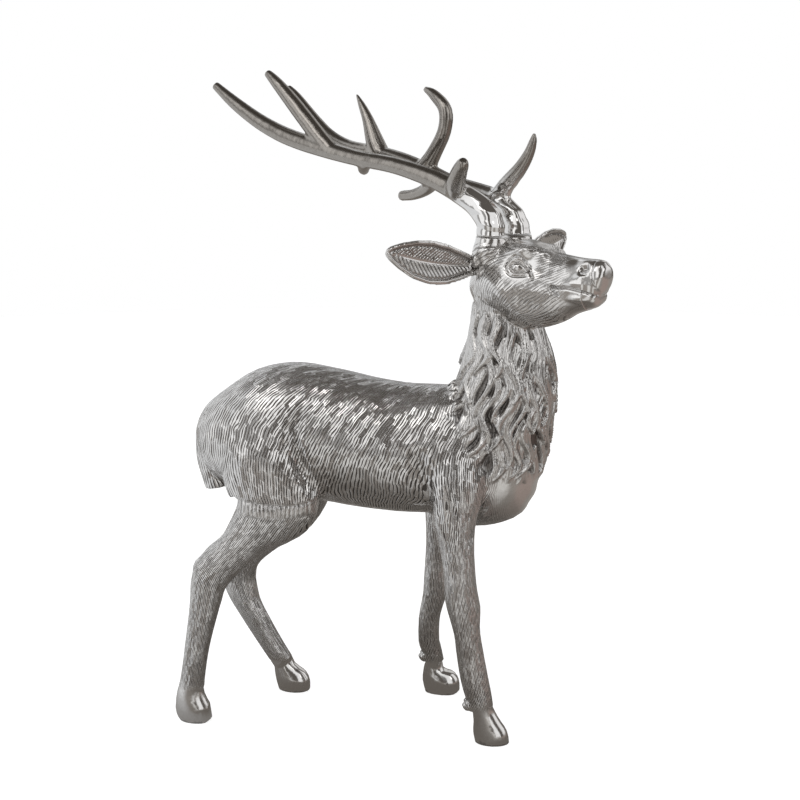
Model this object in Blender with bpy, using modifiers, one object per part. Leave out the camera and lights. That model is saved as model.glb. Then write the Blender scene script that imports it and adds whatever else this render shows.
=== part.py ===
"""A standing stag cast in aluminium and polished: one hollow-cast figure and two antlers that seat on it.

Metres, +Z up. The stag faces +X, its right side is towards -Y, and the origin is under the middle of
its bounding box, on the ground. The figure is drawn in shares of its own height, 600 to the whole, and
scaled once at the end.
"""

import math

import bmesh
import bpy
import numpy as np
from mathutils import Matrix, Vector

HEIGHT = 0.600
ANTLER_BASE_RADIUS = 0.0118
SEAT_CLEARANCE = 0.0005
SEAT_LEAN = math.radians(3.0)
EAR_WALL = 0.0040

SHARES = 600.0
UNIT = HEIGHT / SHARES
GRAIN = 1.5
BODY_TRIANGLES = 7600
ANTLER_TRIANGLES = 1050

SIDES = 28
STEPS = 4

# The head is turned to the stag's right, and its own axes run forward, to its left and up
HEAD_TURN = math.radians(34.0)
HEAD_AT = np.array([132.5, 0.0, 430.0])
FORWARD = np.array([math.cos(HEAD_TURN), -math.sin(HEAD_TURN), 0.0])
LEFTWARD = np.array([math.sin(HEAD_TURN), math.cos(HEAD_TURN), 0.0])
UPWARD = np.array([0.0, 0.0, 1.0])
HEAD_AXES = np.array([FORWARD, LEFTWARD, UPWARD])

# Where each antler stands on the head: forward of the ears, out from the middle, and height
PEDICLE_FORWARD = 11.3
PEDICLE_OUT = 18.0
SEAT_HEIGHT = 456.5

# Rings of each member: place of the centre, half depth across the member, half width to its sides
TORSO = (
    (-143, 0, 265, 13, 12),
    (-138, 0, 265, 24.5, 21),
    (-128, 0, 264.5, 37, 31),
    (-110, 0, 264.5, 49, 39),
    (-85, 0, 266, 61, 45),
    (-50, 0, 270, 66.5, 46),
    (-18, 0, 269, 63, 45),
    (16, 0, 263.5, 61.5, 45),
    (50, 0, 260, 60.5, 44),
    (85, 0, 259.5, 60.5, 44),
    (115, 0, 255.5, 66.5, 42),
    (139, 0, 255.5, 62, 37),
    (154, 0, 259, 48.5, 32),
    (166.5, 0, 262.5, 35, 26),
    (176, 0, 264, 22.5, 17),
    (180, 0, 264, 12, 9),
)
NECK = (
    (138, 0, 222, 32, 28),
    (138, 0, 255, 41, 35),
    (141, 0, 290, 43.5, 38),
    (145, 0, 318, 42.5, 38),
    (146.5, 0, 345, 39, 35),
    (145, 0, 366, 33.5, 32),
    (142.5, 0, 395, 28.5, 29),
    (141, 0, 421, 27, 27),
    (139, 0, 437, 16, 16),
)
TAIL = (
    (-112, 0, 300, 9, 9),
    (-123, 0, 288, 13.5, 12),
    (-131, 0, 270, 15.5, 13.5),
    (-132, 0, 245, 15, 13.5),
    (-129, 0, 227, 13.5, 12.5),
    (-127, 0, 215, 12, 12),
)
RIGHT_FORE = (
    (112, -26, 272, 30, 14),
    (107, -32, 240, 27, 17),
    (104, -38, 208, 21, 16),
    (107, -43, 182, 16, 13),
    (110, -46, 157, 14.5, 12),
    (112, -47, 134, 15, 12),
    (115, -48, 118, 13.8, 11.5),
    (118, -49, 100, 12, 9.5),
    (121, -49, 80, 12.5, 9),
    (125, -50, 59, 12.7, 9.5),
    (129, -50, 43, 12, 10),
    (133, -50, 31, 10, 9.5),
)
LEFT_FORE = (
    (95, 26, 266, 30, 14),
    (88, 34, 232, 26, 17),
    (83, 42, 200, 19, 15),
    (78, 47, 163, 13, 11.5),
    (75, 50, 140, 11, 10.5),
    (74, 51, 120, 11.5, 10),
    (72, 52, 100, 10.9, 9.5),
    (67.7, 53, 79, 10.4, 8.8),
    (67, 54, 56, 10.4, 8.8),
    (69, 56, 46, 10, 9),
    (73, 58, 31, 9, 8.5),
)
RIGHT_HIND = (
    (-78, -24, 292, 34, 16),
    (-73, -27, 256, 45, 22),
    (-63, -31, 215, 42.5, 22),
    (-71, -36, 197, 33, 19),
    (-85, -39, 182, 22.8, 16),
    (-98.2, -41, 166.2, 18.8, 14),
    (-113, -43, 153, 18.8, 12.5),
    (-124, -44, 136, 17, 12),
    (-127.5, -45, 119, 15.2, 10.5),
    (-130.5, -46, 103, 13.5, 9.5),
    (-135.5, -47, 78, 12, 8.8),
    (-138.5, -48, 59, 11.4, 8.8),
    (-141.5, -48, 40, 11.6, 9.5),
    (-143, -48, 30, 12.5, 10.5),
)
LEFT_HIND = (
    (-78, 24, 292, 34, 16),
    (-70, 27, 254, 44, 22),
    (-62, 30, 218, 40, 21),
    (-70, 32, 188, 31, 18),
    (-94, 34, 161, 21, 15),
    (-112, 35, 138, 16, 13),
    (-119, 36, 118, 17, 12),
    (-115.5, 36, 100.5, 15.5, 11),
    (-109, 36, 85, 13, 10),
    (-98.8, 36, 67, 12, 9.5),
    (-86.3, 37, 45.5, 11, 9.3),
    (-76.3, 39, 28.5, 10.4, 9.5),
)
# A hoof widens from the coronet to the ground: shift forward, height, half length, half width
FORE_HOOF = ((0, 30, 9.5, 9), (2.5, 21, 11.5, 10), (5, 12, 14.4, 11), (8, 4, 15.6, 11.8), (9, -4, 15.6, 11.8))
LONG_HOOF = ((-3, 31, 8.5, 8.5), (-4, 23, 10.3, 10), (-1.5, 15, 14.8, 11.5), (4, 7, 18.5, 12.3), (9, -4, 14.5, 11))
STEPPING_HOOF = ((-1.5, 31, 9, 8.5), (-0.3, 23, 11, 10), (3.3, 15, 14.2, 11.5), (8.3, 7, 16.8, 12.3), (12, -4, 13.6, 11))
HIND_HOOF = ((0, 32, 11.5, 10), (1.2, 19, 15.2, 11.5), (3.5, 9, 17, 12.6), (10.5, -4, 12, 11))
HOOVES = (
    (133, -50, FORE_HOOF),
    (75, 60, LONG_HOOF),
    (-144.5, -48, HIND_HOOF),
    (-75, 41, STEPPING_HOOF),
)
DEWCLAWS = ((119.5, -50, 34), (62, 57, 37))

# The head, by distance forward: height of the middle, half depth, half width
SKULL = (
    (-16, -1, 8, 7),
    (-11, -4, 18, 14),
    (0, -10, 31.5, 25.5),
    (25, -12, 37, 31),
    (48, -15.5, 38, 28),
    (68, -15.5, 32.7, 23),
    (88, -12.4, 25.6, 18),
    (103, -10.7, 22.3, 15.8),
    (113, -10.4, 21.8, 15.2),
    (121, -9.8, 20.4, 14),
    (125, -9, 16, 11.5),
)
# An ear, by share of its length: half width of the leaf and how far its rims fold forward
EAR_ROOT = (0.0, 24.0, 0.0)
NEAR_EAR_TIP = (-12.0, 124.0, 17.5)
FAR_EAR_TIP = (-13.5, 120.0, 18.0)
EAR_DROOP = 3.5
EAR = (
    (-0.06, 7.5, 3.0, 2.2),
    (0.06, 7.2, 6.5, 1.5),
    (0.20, 11.8, 8.5, 1.0),
    (0.38, 17.2, 8.0, 1.0),
    (0.55, 19.0, 7.0, 1.0),
    (0.72, 16.8, 5.5, 1.0),
    (0.86, 11.6, 3.5, 1.0),
    (0.95, 6.5, 1.5, 1.0),
    (1.00, 2.0, 0.3, 0.8),
)

# Antlers, drawn in the upright plane each sweeps back in: distance back, height over the seat,
# distance out of the plane, and radius
RIGHT_SWEEP = math.radians(8.0)
LEFT_SWEEP = math.radians(0.0)
RIGHT_BEAM = (
    (0, 0, 0, 1.04),
    (1, 11, 0, 1.04),
    (9, 22, 0, 0.96),
    (24, 31.7, 0, 0.88),
    (42, 40, 0, 0.78),
    (63, 48, 0, 0.72),
    (91, 55.6, 0, 0.66),
    (113, 60, 0, 0.64),
    (142, 63.6, 0, 0.62),
    (165, 67.8, 0, 0.65),
    (187, 72.6, 0, 0.69),
    (214, 79, 0, 0.71),
    (239, 86.5, 0, 0.69),
    (267, 98.5, 0, 0.64),
    (297, 115.5, 0, 0.54),
    (322, 132.5, 0, 0.36),
)
RIGHT_TINES = (
    ((174, 69, 0, 0.62), (190, 82, 0, 0.68), (208, 100, 0, 0.67), (226, 118, 0, 0.61), (242.5, 133.5, 0, 0.49),
     (254.5, 143.5, 0, 0.33)),
    ((35, 36, 2, 0.78), (29, 44, 12, 0.74), (19, 54.5, 22, 0.62), (11, 61.5, 29, 0.50), (7.5, 65, 32, 0.34)),
    ((60, 45, 0, 0.58), (76, 37.2, -9, 0.50), (94, 32, -16, 0.44), (112, 30.2, -22, 0.42)),
    ((136, 61, 0, 0.56), (145, 56, -8, 0.50), (150, 53.5, -15, 0.44), (152, 53, -20, 0.30)),
)
LEFT_BEAM = (
    (0, 0, 0, 1.04),
    (3.5, 11, 0, 0.98),
    (14, 22.5, 0, 0.84),
    (29, 30.5, 0, 0.76),
    (46, 35, 0, 0.70),
    (80, 42, 0, 0.68),
    (112, 53, 0, 0.66),
    (144, 62, 0, 0.64),
    (178, 68, 0, 0.64),
    (212, 72.8, 0, 0.57),
    (240, 82.5, 0, 0.57),
    (262, 98, 0, 0.52),
    (288, 121, 0, 0.40),
    (302, 132, 0, 0.25),
)
LEFT_TINES = (
    ((24, 29, 0, 0.78), (12, 43, 0, 0.66), (-2.5, 57, 0, 0.54), (-12, 70, 0, 0.43), (-16.5, 81, 0, 0.31),
     (-17.8, 88, 0, 0.14)),
    ((112, 54, 0, 0.80), (100.5, 69, 0, 0.62), (88, 89, 0, 0.56), (87, 108, 0, 0.55), (101, 121.5, 0, 0.44),
     (113, 127.5, 0, 0.22)),
    ((171, 66, 0, 0.84), (178, 78, 0, 0.77), (187.5, 99, 0, 0.49), (196, 113, 0, 0.32), (203, 123.5, 0, 0.12)),
    ((226, 74, 0, 0.5), (248, 77, 0, 0.48), (270, 79, 0, 0.40), (290, 83, 0, 0.30), (304, 87, 0, 0.18)),
)

# Muscles, drawn on the left side: place, reach along the three axes, and rise
MUSCLES = {
    "haunch": ((-70, 44, 262), (44, 30, 48), 4.0),
    "shoulder": ((100, 42, 252), (28, 30, 42), 3.5),
    "ribs": ((20, 44, 258), (46, 30, 30), 2.0),
}
# Creases between them, drawn on the left side: half width, depth, and places
CREASES = {
    "flank": (7.0, 4.2, ((-30, 46, 318), (-36, 47, 300), (-40, 47, 276), (-34, 46, 250), (-24, 44, 228))),
    "elbow": (5.0, 2.2, ((128, 40, 262), (122, 42, 238), (116, 42, 216))),
    "behind_foreleg": (8.0, 3.0, ((72, 44, 262), (76, 43, 236), (80, 42, 214))),
    "beside_tail": (4.0, 3.4, ((-112, 17, 296), (-119, 17, 270), (-119, 16, 245), (-112, 14, 222))),
}
# Joints that swell one way: place, reach, and how far they move
JOINTS = {
    "right_hock": ((-139, -44, 154), (9, 11, 11), (-3.6, 0, 1.3)),
    "left_hock": ((-132, 36, 128), (9, 11, 11), (-3.6, 0, 1.3)),
    "right_knee": ((126, -47, 126), (10, 12, 16), (1.6, 0, 0)),
    "left_knee": ((84, 51, 106), (10, 12, 14), (1.6, 0, 0)),
}

# The face in the head's own axes, drawn on the left side: place, reach, and rise
FACE_SWELLS = {
    "brow_ridge": ((66, 20, 12), (8, 6, 5), 3.6),
    "brow": ((50, 25, 14), (16, 9, 6), 6.0),
    "eye_socket": ((48, 28, 3), (13, 8, 8), -5.0),
    "eyeball": ((47, 26, 3), (7.5, 8, 5), 5.4),
    "below_eye": ((68, 22, 0), (12, 8, 7), -2.4),
    "cheek": ((30, 29, -18), (22, 9, 15), 2.4),
    "ear_root": ((5, 26, 4), (7, 7, 8), 2.6),
    "temple": ((9, 29, 13), (20, 10, 12), 4.0),
    "nostril_wing": ((108, 14, 6), (9, 6, 5), 2.4),
    "nostril": ((109, 16, 2), (4.5, 5, 2.8), -4.2),
    "upper_lip": ((100, 17, -6), (10, 6, 5), 1.6),
    "lower_lip": ((104, 15, -21), (12, 6, 4.5), 1.6),
}
# Grooves of the face: half width, depth, and places
FACE_GROOVES = {
    "mouth": (1.8, 2.2, ((80, 19, -12.7), (94, 16, -13), (108, 14, -15.3), (117, 12, -17.9), (124, 3, -17.6))),
    "nose_pad": (1.5, 1.4, ((113, 5, 15), (114.5, 10, 9), (116, 13, 1), (118.5, 13.5, -11))),
    "upper_lid": (1.5, 1.8, ((38, 27, 0.5), (41, 26, 5), (46, 25, 8), (52, 24, 6), (58.5, 22.4, -1.5))),
    "lower_lid": (1.5, 1.6, ((38, 27, 0.5), (43, 27.5, -2.8), (50, 26.5, -3.4), (58.5, 22.4, -1.5))),
    "tear_duct": (1.5, 1.4, ((58.5, 22.4, -1.5), (62, 23, -5), (63.5, 23.5, -9))),
}
NOSE_SPAN = (102.0, 120.0)
NOSE_HALF_WIDTH = 28.0
NOSE_LEAN = 0.22
# The face keeps finer faces: forward of this place, this far to each side and above this height
FACE_REGION = (20.0, 34.0, -30.0)

# Clefts of a hoof: half width, depth, and places as forward, share of its splay, out and up
CLEFTS = {
    "front": (1.9, 3.2, ((4, 0.5, -13, 30), (4.5, 0.75, -14.5, 13), (5, 1.0, -16, -4))),
    "rear": (1.9, 2.4, ((-3, 0.0, 12, 28), (-4.5, 0.5, 13.5, 12), (-6, 1.0, 15, -4))),
}
CORONET = 31.0
CORONET_RADIUS = 13.5

# The mane, in shares: locks in staggered rows round the neck
MANE_TOP = 392.0
MANE_FOOT = 236.0
LOCK_LENGTH = 50.0
LOCK_WIDTH = 7.6
LOCK_RISE = 4.6
ROW_PITCH = 22.0
LOCKS_IN_ROW = 17

# Round a seat the skin is cut level, and points this near a flat are laid on it
SEAT_RADIUS = 17.0
SNAP = 0.3


def clear_scene():
    for old in list(bpy.data.objects):
        bpy.data.objects.remove(old, do_unlink=True)


def curve_through(stations, steps=STEPS):
    """A smooth run of rows through the stations, with the given number of steps between two of them."""
    rows = np.array(stations, float)
    padded = np.vstack([2 * rows[0] - rows[1], rows, 2 * rows[-1] - rows[-2]])
    out = []
    for i in range(len(rows) - 1):
        before, start, end, after = padded[i:i + 4]
        for t in np.arange(steps) / steps:
            bend = (2 * before - 5 * start + 4 * end - after) * t ** 2
            twist = (3 * start - before - 3 * end + after) * t ** 3
            out.append(0.5 * (2 * start + (end - before) * t + bend + twist))
    out.append(rows[-1])
    return np.array(out)


def loft(bm, rows, side, sides=SIDES):
    """A closed tube through rows of (x, y, z, half depth, half width, fold); side points to its left."""
    centres = rows[:, :3]
    tangents = np.gradient(centres, axis=0)
    rings = []
    for row, tangent in zip(rows, tangents):
        along = Vector(tangent).normalized()
        across = (Vector(side) - along * along.dot(Vector(side))).normalized()
        depth = across.cross(along)
        turn = Matrix((depth * row[3], across * row[4], along)).transposed().to_4x4()
        last = len(rings) in (0, len(rows) - 1)
        made = bmesh.ops.create_circle(
            bm, cap_ends=last, segments=sides, radius=1.0, matrix=Matrix.Translation(row[:3]) @ turn
        )
        if len(row) > 5:
            for vert in made["verts"]:
                share = (vert.co - Vector(row[:3])).dot(across) / row[4]
                vert.co += depth * row[5] * share * share
        rings.append({edge for vert in made["verts"] for edge in vert.link_edges})
    for lower, upper in zip(rings, rings[1:]):
        bmesh.ops.bridge_loops(bm, edges=list(lower | upper))


def fused(bm, name, grain, smoothing):
    """The closed shapes of bm grown into one skin, and its mesh with even faces of about that grain."""
    bmesh.ops.recalc_face_normals(bm, faces=bm.faces)
    mesh = bpy.data.meshes.new(name)
    bm.to_mesh(mesh)
    bm.free()
    rough = bpy.data.objects.new(name + "_rough", mesh)
    bpy.context.scene.collection.objects.link(rough)
    remesh = rough.modifiers.new("skin", "REMESH")
    remesh.mode = "VOXEL"
    remesh.voxel_size = grain
    smooth = rough.modifiers.new("soften", "SMOOTH")
    smooth.factor = 0.5
    smooth.iterations = smoothing
    skin = bpy.data.meshes.new_from_object(rough.evaluated_get(bpy.context.evaluated_depsgraph_get()))
    bpy.data.objects.remove(rough, do_unlink=True)
    return skin


def thinned(mesh, name, triangles, keep=None):
    """The mesh with no more than the given number of triangles; keep marks points that stay finer."""
    dense = bpy.data.objects.new(name + "_dense", mesh)
    bpy.context.scene.collection.objects.link(dense)
    count = sum(len(face.vertices) - 2 for face in mesh.polygons)
    thin = dense.modifiers.new("thin", "DECIMATE")
    thin.ratio = triangles / count
    if keep is not None:
        group = dense.vertex_groups.new(name="coarser")
        for level in (0.0, 0.5, 1.0):
            group.add([int(i) for i in np.flatnonzero(keep == level)], 1.0 - 0.85 * level, "REPLACE")
        thin.vertex_group = group.name
    done = bpy.data.meshes.new_from_object(dense.evaluated_get(bpy.context.evaluated_depsgraph_get()))
    bpy.data.objects.remove(dense, do_unlink=True)
    return done


def points_of(mesh):
    points = np.empty(len(mesh.vertices) * 3)
    mesh.vertices.foreach_get("co", points)
    return points.reshape(-1, 3)


def normals_of(mesh):
    normals = np.empty(len(mesh.vertices) * 3, np.float32)
    mesh.vertex_normals.foreach_get("vector", normals)
    return normals.reshape(-1, 3).astype(float)


def place_points(mesh, points):
    mesh.vertices.foreach_set("co", points.reshape(-1))
    mesh.update()


def head_place(forward, left, up):
    return HEAD_AT + forward * FORWARD + left * LEFTWARD + up * UPWARD


def in_head(points):
    return (points - HEAD_AT) @ HEAD_AXES.T


def swell(points, push, centre, reach, rise, axes=None):
    """Moves the surface round a centre along push by rise, fading out over its reach."""
    local = points - np.asarray(centre, float)
    if axes is not None:
        local = local @ axes.T
    fade = np.exp(-2.0 * ((local / np.asarray(reach, float)) ** 2).sum(axis=1))
    return points + push * (rise * fade)[:, None]


def distance_to(points, path):
    """The least distance from each point to a line through the points of the path."""
    nearest = np.full(len(points), np.inf)
    for start, end in zip(path, path[1:]):
        run = end - start
        share = np.clip(((points - start) @ run) / (run @ run), 0.0, 1.0)
        gap = np.linalg.norm(points - start - share[:, None] * run, axis=1)
        nearest = np.minimum(nearest, gap)
    return nearest


def score(points, normals, path, width, depth):
    """Cuts a soft groove of a depth along a path that runs near the surface."""
    path = curve_through(path, 3)
    return points - normals * (depth * np.exp(-(distance_to(points, path) / width) ** 2))[:, None]


def wander(number):
    """A fixed number from 0 to 1 that looks like chance."""
    return math.modf(abs(math.sin(number * 12.9898 + 4.1) * 4375.85453))[0]


def mane_locks(points, normals):
    """Locks of hair round the neck: each is a tapering wavy ridge that lifts towards its tip."""
    rows = curve_through(NECK, 6)
    order = np.argsort(rows[:, 2])
    middle = np.interp(points[:, 2], rows[order, 2], rows[order, 0])
    girth = np.interp(points[:, 2], rows[order, 2], 0.5 * (rows[order, 3] + rows[order, 4]))
    angle = np.arctan2(points[:, 1], points[:, 0] - middle)
    lift = np.zeros(len(points))
    foot = MANE_FOOT + 58.0 * np.clip((-np.cos(angle) - 0.1) / 0.9, 0.0, 1.0)
    row_count = int((MANE_TOP - MANE_FOOT) / ROW_PITCH) + 1
    near = (points[:, 2] < MANE_TOP + 8) & (points[:, 2] > MANE_FOOT - 40)
    chosen = np.flatnonzero(near)
    for row in range(row_count):
        for number in range(LOCKS_IN_ROW):
            seed = row * 31.7 + number * 7.3
            root = MANE_TOP - row * ROW_PITCH - 9.0 * wander(seed)
            length = LOCK_LENGTH * (0.8 + 0.5 * wander(seed + 1))
            width = LOCK_WIDTH * (0.8 + 0.45 * wander(seed + 2))
            at = (number + 0.5 * (row % 2) + 0.35 * wander(seed + 3)) / LOCKS_IN_ROW * 2 * math.pi
            down = (root - points[chosen, 2]) / length
            phase = 0.3 * math.sin(2 * at) + 0.37 * row
            sway = 4.5 * np.sin(2 * math.pi * (0.8 * down + phase)) * np.clip(down + 0.3, 0, 1)
            turn = angle[chosen] - at
            turn = (turn + math.pi) % (2 * math.pi) - math.pi
            across = turn * girth[chosen] - sway
            taper = width * np.clip(1.0 - down, 0.0, 1.0) ** 0.6 * np.clip(down * 6 + 0.3, 0.0, 1.0)
            share = across / np.maximum(taper, 0.2)
            inside = (down > 0) & (down < 1) & (np.abs(share) < 1)
            ridge = np.clip(1 - share ** 2, 0, 1) ** 0.7 * (0.45 + 0.55 * down)
            lock = np.where(inside, ridge, 0.0)
            lift[chosen] = np.maximum(lift[chosen], lock)
    fade = np.clip((points[:, 2] - foot) / 18.0, 0, 1) * np.clip((MANE_TOP + 6 - points[:, 2]) / 12.0, 0, 1)
    reach = np.hypot(points[:, 0] - middle, points[:, 1])
    fade *= np.clip((girth + 13.0 - reach) / 5.0, 0, 1)
    return points + normals * ((LOCK_RISE * lift - 1.2) * fade)[:, None], fade


def mirrored(spots, side):
    """Places drawn on the left side, laid on one side of the head."""
    return [head_place(forward, side * left, up) for forward, left, up in spots]


def carve_muscles(points, normals):
    """Haunch, shoulder, ribs, hocks and knees, which stand out of the plain lofts, and their creases."""
    for side in (-1, 1):
        flip = np.array([1.0, side, 1.0])
        for place, reach, rise in MUSCLES.values():
            points = swell(points, normals, place * flip, reach, rise)
        for width, depth, path in CREASES.values():
            points = score(points, normals, path * flip, width, depth)
    for place, reach, push in JOINTS.values():
        points = swell(points, np.array(push), place, reach, 1.0)
    return points


def lean_nose(points):
    """The nose leans forward at its top, so that the lower lip stands back."""
    local = in_head(points)
    begin, end = NOSE_SPAN
    on_nose = np.clip((local[:, 0] - begin) / (end - begin), 0, 1) * (np.abs(local[:, 1]) < NOSE_HALF_WIDTH)
    return points + FORWARD * (NOSE_LEAN * local[:, 2] * on_nose)[:, None]


def carve_face(points, normals):
    """Brows, eyes with their lids, nostrils, mouth, cheeks and the swelling at each ear's root."""
    points = lean_nose(points)
    for side in (-1, 1):
        for (forward, left, up), reach, rise in FACE_SWELLS.values():
            points = swell(points, normals, head_place(forward, side * left, up), reach, rise, HEAD_AXES)
        for width, depth, spots in FACE_GROOVES.values():
            points = score(points, normals, mirrored(spots, side), width, depth)
    return points


def carve_hooves(points, normals):
    """A cleft down each hoof, turned out to its own front quarter, its coronet, and a flat sole."""
    for x, y, outline in HOOVES:
        splay = outline[-1][0]
        for width, depth, path in CLEFTS.values():
            spots = [(x + forward + share * splay, y + out, up) for forward, share, out, up in path]
            points = score(points, normals, spots, width, depth)
        around = np.linspace(0, 2 * math.pi, 9)
        coronet = [(x + CORONET_RADIUS * math.cos(a), y + CORONET_RADIUS * math.sin(a), CORONET) for a in around]
        points = score(points, normals, coronet, 2.0, 0.9)
    points[:, 2] = np.maximum(points[:, 2], 0.0)
    return points


def seat_plane(points, side):
    """Height of the seat under each point: it falls away towards the front of the antler."""
    local = in_head(points)
    ahead = local[:, 0] - (PEDICLE_FORWARD - ANTLER_BASE_RADIUS / UNIT)
    rise = SEAT_HEIGHT - SEAT_CLEARANCE / UNIT - np.maximum(ahead, 0) * math.tan(SEAT_LEAN)
    near = np.hypot(local[:, 0] - PEDICLE_FORWARD, local[:, 1] - side * PEDICLE_OUT) < SEAT_RADIUS
    return np.where(near, rise, np.inf)


def body_lofts(bm):
    for member in (TORSO, NECK, TAIL, RIGHT_FORE, LEFT_FORE, RIGHT_HIND, LEFT_HIND):
        loft(bm, curve_through(member), (0, 1, 0))
    for x, y, outline in HOOVES:
        rows = [(x + shift, y, height, half, wide) for shift, height, half, wide in outline]
        loft(bm, curve_through(rows), (0, 1, 0))
    for x, y, z in DEWCLAWS:
        for side in (-5, 5):
            turn = Matrix.Translation((x, y + side, z)) @ Matrix.Rotation(0.7, 4, "Y")
            bmesh.ops.create_uvsphere(bm, u_segments=12, v_segments=8, radius=1.0,
                                      matrix=turn @ Matrix.Diagonal((6, 4.5, 4, 1)))
    head = [(*head_place(forward, 0, up), half, wide) for forward, up, half, wide in SKULL]
    loft(bm, curve_through(head), LEFTWARD)
    for side in (-1, 1):
        seat = SEAT_HEIGHT - HEAD_AT[2]
        stump = [(*head_place(PEDICLE_FORWARD, side * PEDICLE_OUT, up), wide, wide)
                 for up, wide in ((2, 15), (0.53 * seat, 14), (0.83 * seat, 13.2), (seat + 2.5, 12.8))]
        loft(bm, curve_through(stump), LEFTWARD)
        tip = FAR_EAR_TIP if side > 0 else NEAR_EAR_TIP
        root, tip = (head_place(place[0], side * place[1], place[2]) for place in (EAR_ROOT, tip))
        rows = []
        for share, wide, fold, thick in EAR:
            centre = root + (tip - root) * share - UPWARD * EAR_DROOP * math.sin(math.pi * share)
            rows.append((*centre, thick * EAR_WALL / UNIT / 2, wide, -side * fold))
        loft(bm, curve_through(rows), UPWARD)


def build_body():
    bm = bmesh.new()
    body_lofts(bm)
    mesh = fused(bm, "body", GRAIN, 6)
    points, normals = points_of(mesh), normals_of(mesh)
    points = carve_muscles(points, normals)
    points, fade = mane_locks(points, normals)
    points = carve_face(points, normals)
    points = carve_hooves(points, normals)
    for side in (-1, 1):
        points[:, 2] = np.minimum(points[:, 2], seat_plane(points, side))
    place_points(mesh, points)
    local = in_head(points)
    begin, half_width, bottom = FACE_REGION
    face = (local[:, 0] > begin) & (np.abs(local[:, 1]) < half_width) & (local[:, 2] > bottom)
    keep = np.where(face, 1.0, np.where(fade > 0.4, 0.5, 0.0))
    mesh = thinned(mesh, "body", BODY_TRIANGLES, keep)
    points = points_of(mesh)
    points[np.abs(points[:, 2]) < SNAP, 2] = 0.0
    place_points(mesh, points)
    return mesh


def build_antler(name, side, sweep, beam, tines):
    """An antler: a beam and its tines as round tapering tubes, flat where it stands on its seat."""
    bm = bmesh.new()
    base = HEAD_AT + PEDICLE_FORWARD * FORWARD + side * PEDICLE_OUT * LEFTWARD
    back = -math.cos(sweep) * FORWARD + side * math.sin(sweep) * LEFTWARD
    out = np.array([-back[1], back[0], 0.0])
    out = out * np.sign(out @ (side * LEFTWARD))
    thick = ANTLER_BASE_RADIUS / UNIT
    below = ((0, -8, 0, 1.0),)
    for rows in (below + beam,) + tines:
        placed = [(*(base[:2] + back[:2] * b + out[:2] * o), SEAT_HEIGHT + h, r * thick, r * thick)
                  for b, h, o, r in rows]
        loft(bm, curve_through(placed), out, 16)
    mesh = fused(bm, name, GRAIN, 5)
    points = points_of(mesh)
    points[:, 2] = np.maximum(points[:, 2], SEAT_HEIGHT)
    place_points(mesh, points)
    mesh = thinned(mesh, name, ANTLER_TRIANGLES)
    points = points_of(mesh)
    points[np.abs(points[:, 2] - SEAT_HEIGHT) < SNAP, 2] = SEAT_HEIGHT
    place_points(mesh, points)
    return mesh


def polished(name, colour, roughness):
    material = bpy.data.materials.new(name)
    material.use_nodes = True
    shader = material.node_tree.nodes["Principled BSDF"]
    shader.inputs["Base Color"].default_value = (*colour, 1.0)
    shader.inputs["Metallic"].default_value = 1.0
    shader.inputs["Roughness"].default_value = roughness
    return material


def main():
    clear_scene()
    figure = bpy.data.collections.new("cast_aluminium_deer")
    bpy.context.scene.collection.children.link(figure)
    satin = polished("satin_aluminium", (0.62, 0.60, 0.57), 0.28)
    bright = polished("bright_aluminium", (0.70, 0.68, 0.65), 0.12)
    meshes = {
        "body": (build_body(), satin),
        "antler_right": (build_antler("antler_right", -1, RIGHT_SWEEP, RIGHT_BEAM, RIGHT_TINES), bright),
        "antler_left": (build_antler("antler_left", 1, LEFT_SWEEP, LEFT_BEAM, LEFT_TINES), bright),
    }
    everything = np.vstack([points_of(mesh) for mesh, _ in meshes.values()])
    low, high = everything.min(axis=0), everything.max(axis=0)
    middle = np.array([(low[0] + high[0]) / 2, (low[1] + high[1]) / 2, low[2]])
    for name, (mesh, material) in meshes.items():
        place_points(mesh, (points_of(mesh) - middle) * UNIT)
        mesh.materials.clear()
        mesh.materials.append(material)
        mesh.shade_smooth()
        part = bpy.data.objects.new(name, mesh)
        figure.objects.link(part)


main()
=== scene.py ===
"""The looks of a standing stag cast in aluminium: its carved skin, its polished antlers, and a plain studio.

The figure is drawn again in the same shares as the solids, 600 to its height, at a finer grain, and then
brought to metres. The stag faces +X and its right side is towards -Y.
"""

import math

import bmesh
import bpy
import numpy as np
from mathutils import Matrix, Vector


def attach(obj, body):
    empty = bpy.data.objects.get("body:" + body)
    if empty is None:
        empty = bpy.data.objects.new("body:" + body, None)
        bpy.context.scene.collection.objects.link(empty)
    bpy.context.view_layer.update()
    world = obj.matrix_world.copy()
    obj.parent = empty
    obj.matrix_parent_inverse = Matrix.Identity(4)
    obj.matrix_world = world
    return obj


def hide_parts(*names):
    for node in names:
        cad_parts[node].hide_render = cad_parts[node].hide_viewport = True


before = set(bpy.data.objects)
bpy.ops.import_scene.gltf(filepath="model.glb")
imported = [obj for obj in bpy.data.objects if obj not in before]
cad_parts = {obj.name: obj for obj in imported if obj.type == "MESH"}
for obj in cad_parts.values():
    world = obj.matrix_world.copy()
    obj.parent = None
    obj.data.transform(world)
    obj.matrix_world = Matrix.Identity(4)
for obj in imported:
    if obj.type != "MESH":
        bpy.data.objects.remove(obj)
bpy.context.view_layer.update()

# Driving sizes, in metres
HEIGHT = 0.600
ANTLER_BASE_RADIUS = 0.0118
SEAT_CLEARANCE = 0.0005
SEAT_LEAN = math.radians(3.0)
EAR_WALL = 0.0040

SHARES = 600.0
UNIT = HEIGHT / SHARES
BODY_GRAIN = 1.1
ANTLER_GRAIN = 1.0
BODY_TRIANGLES = 192000

SIDES = 28
STEPS = 4

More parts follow.
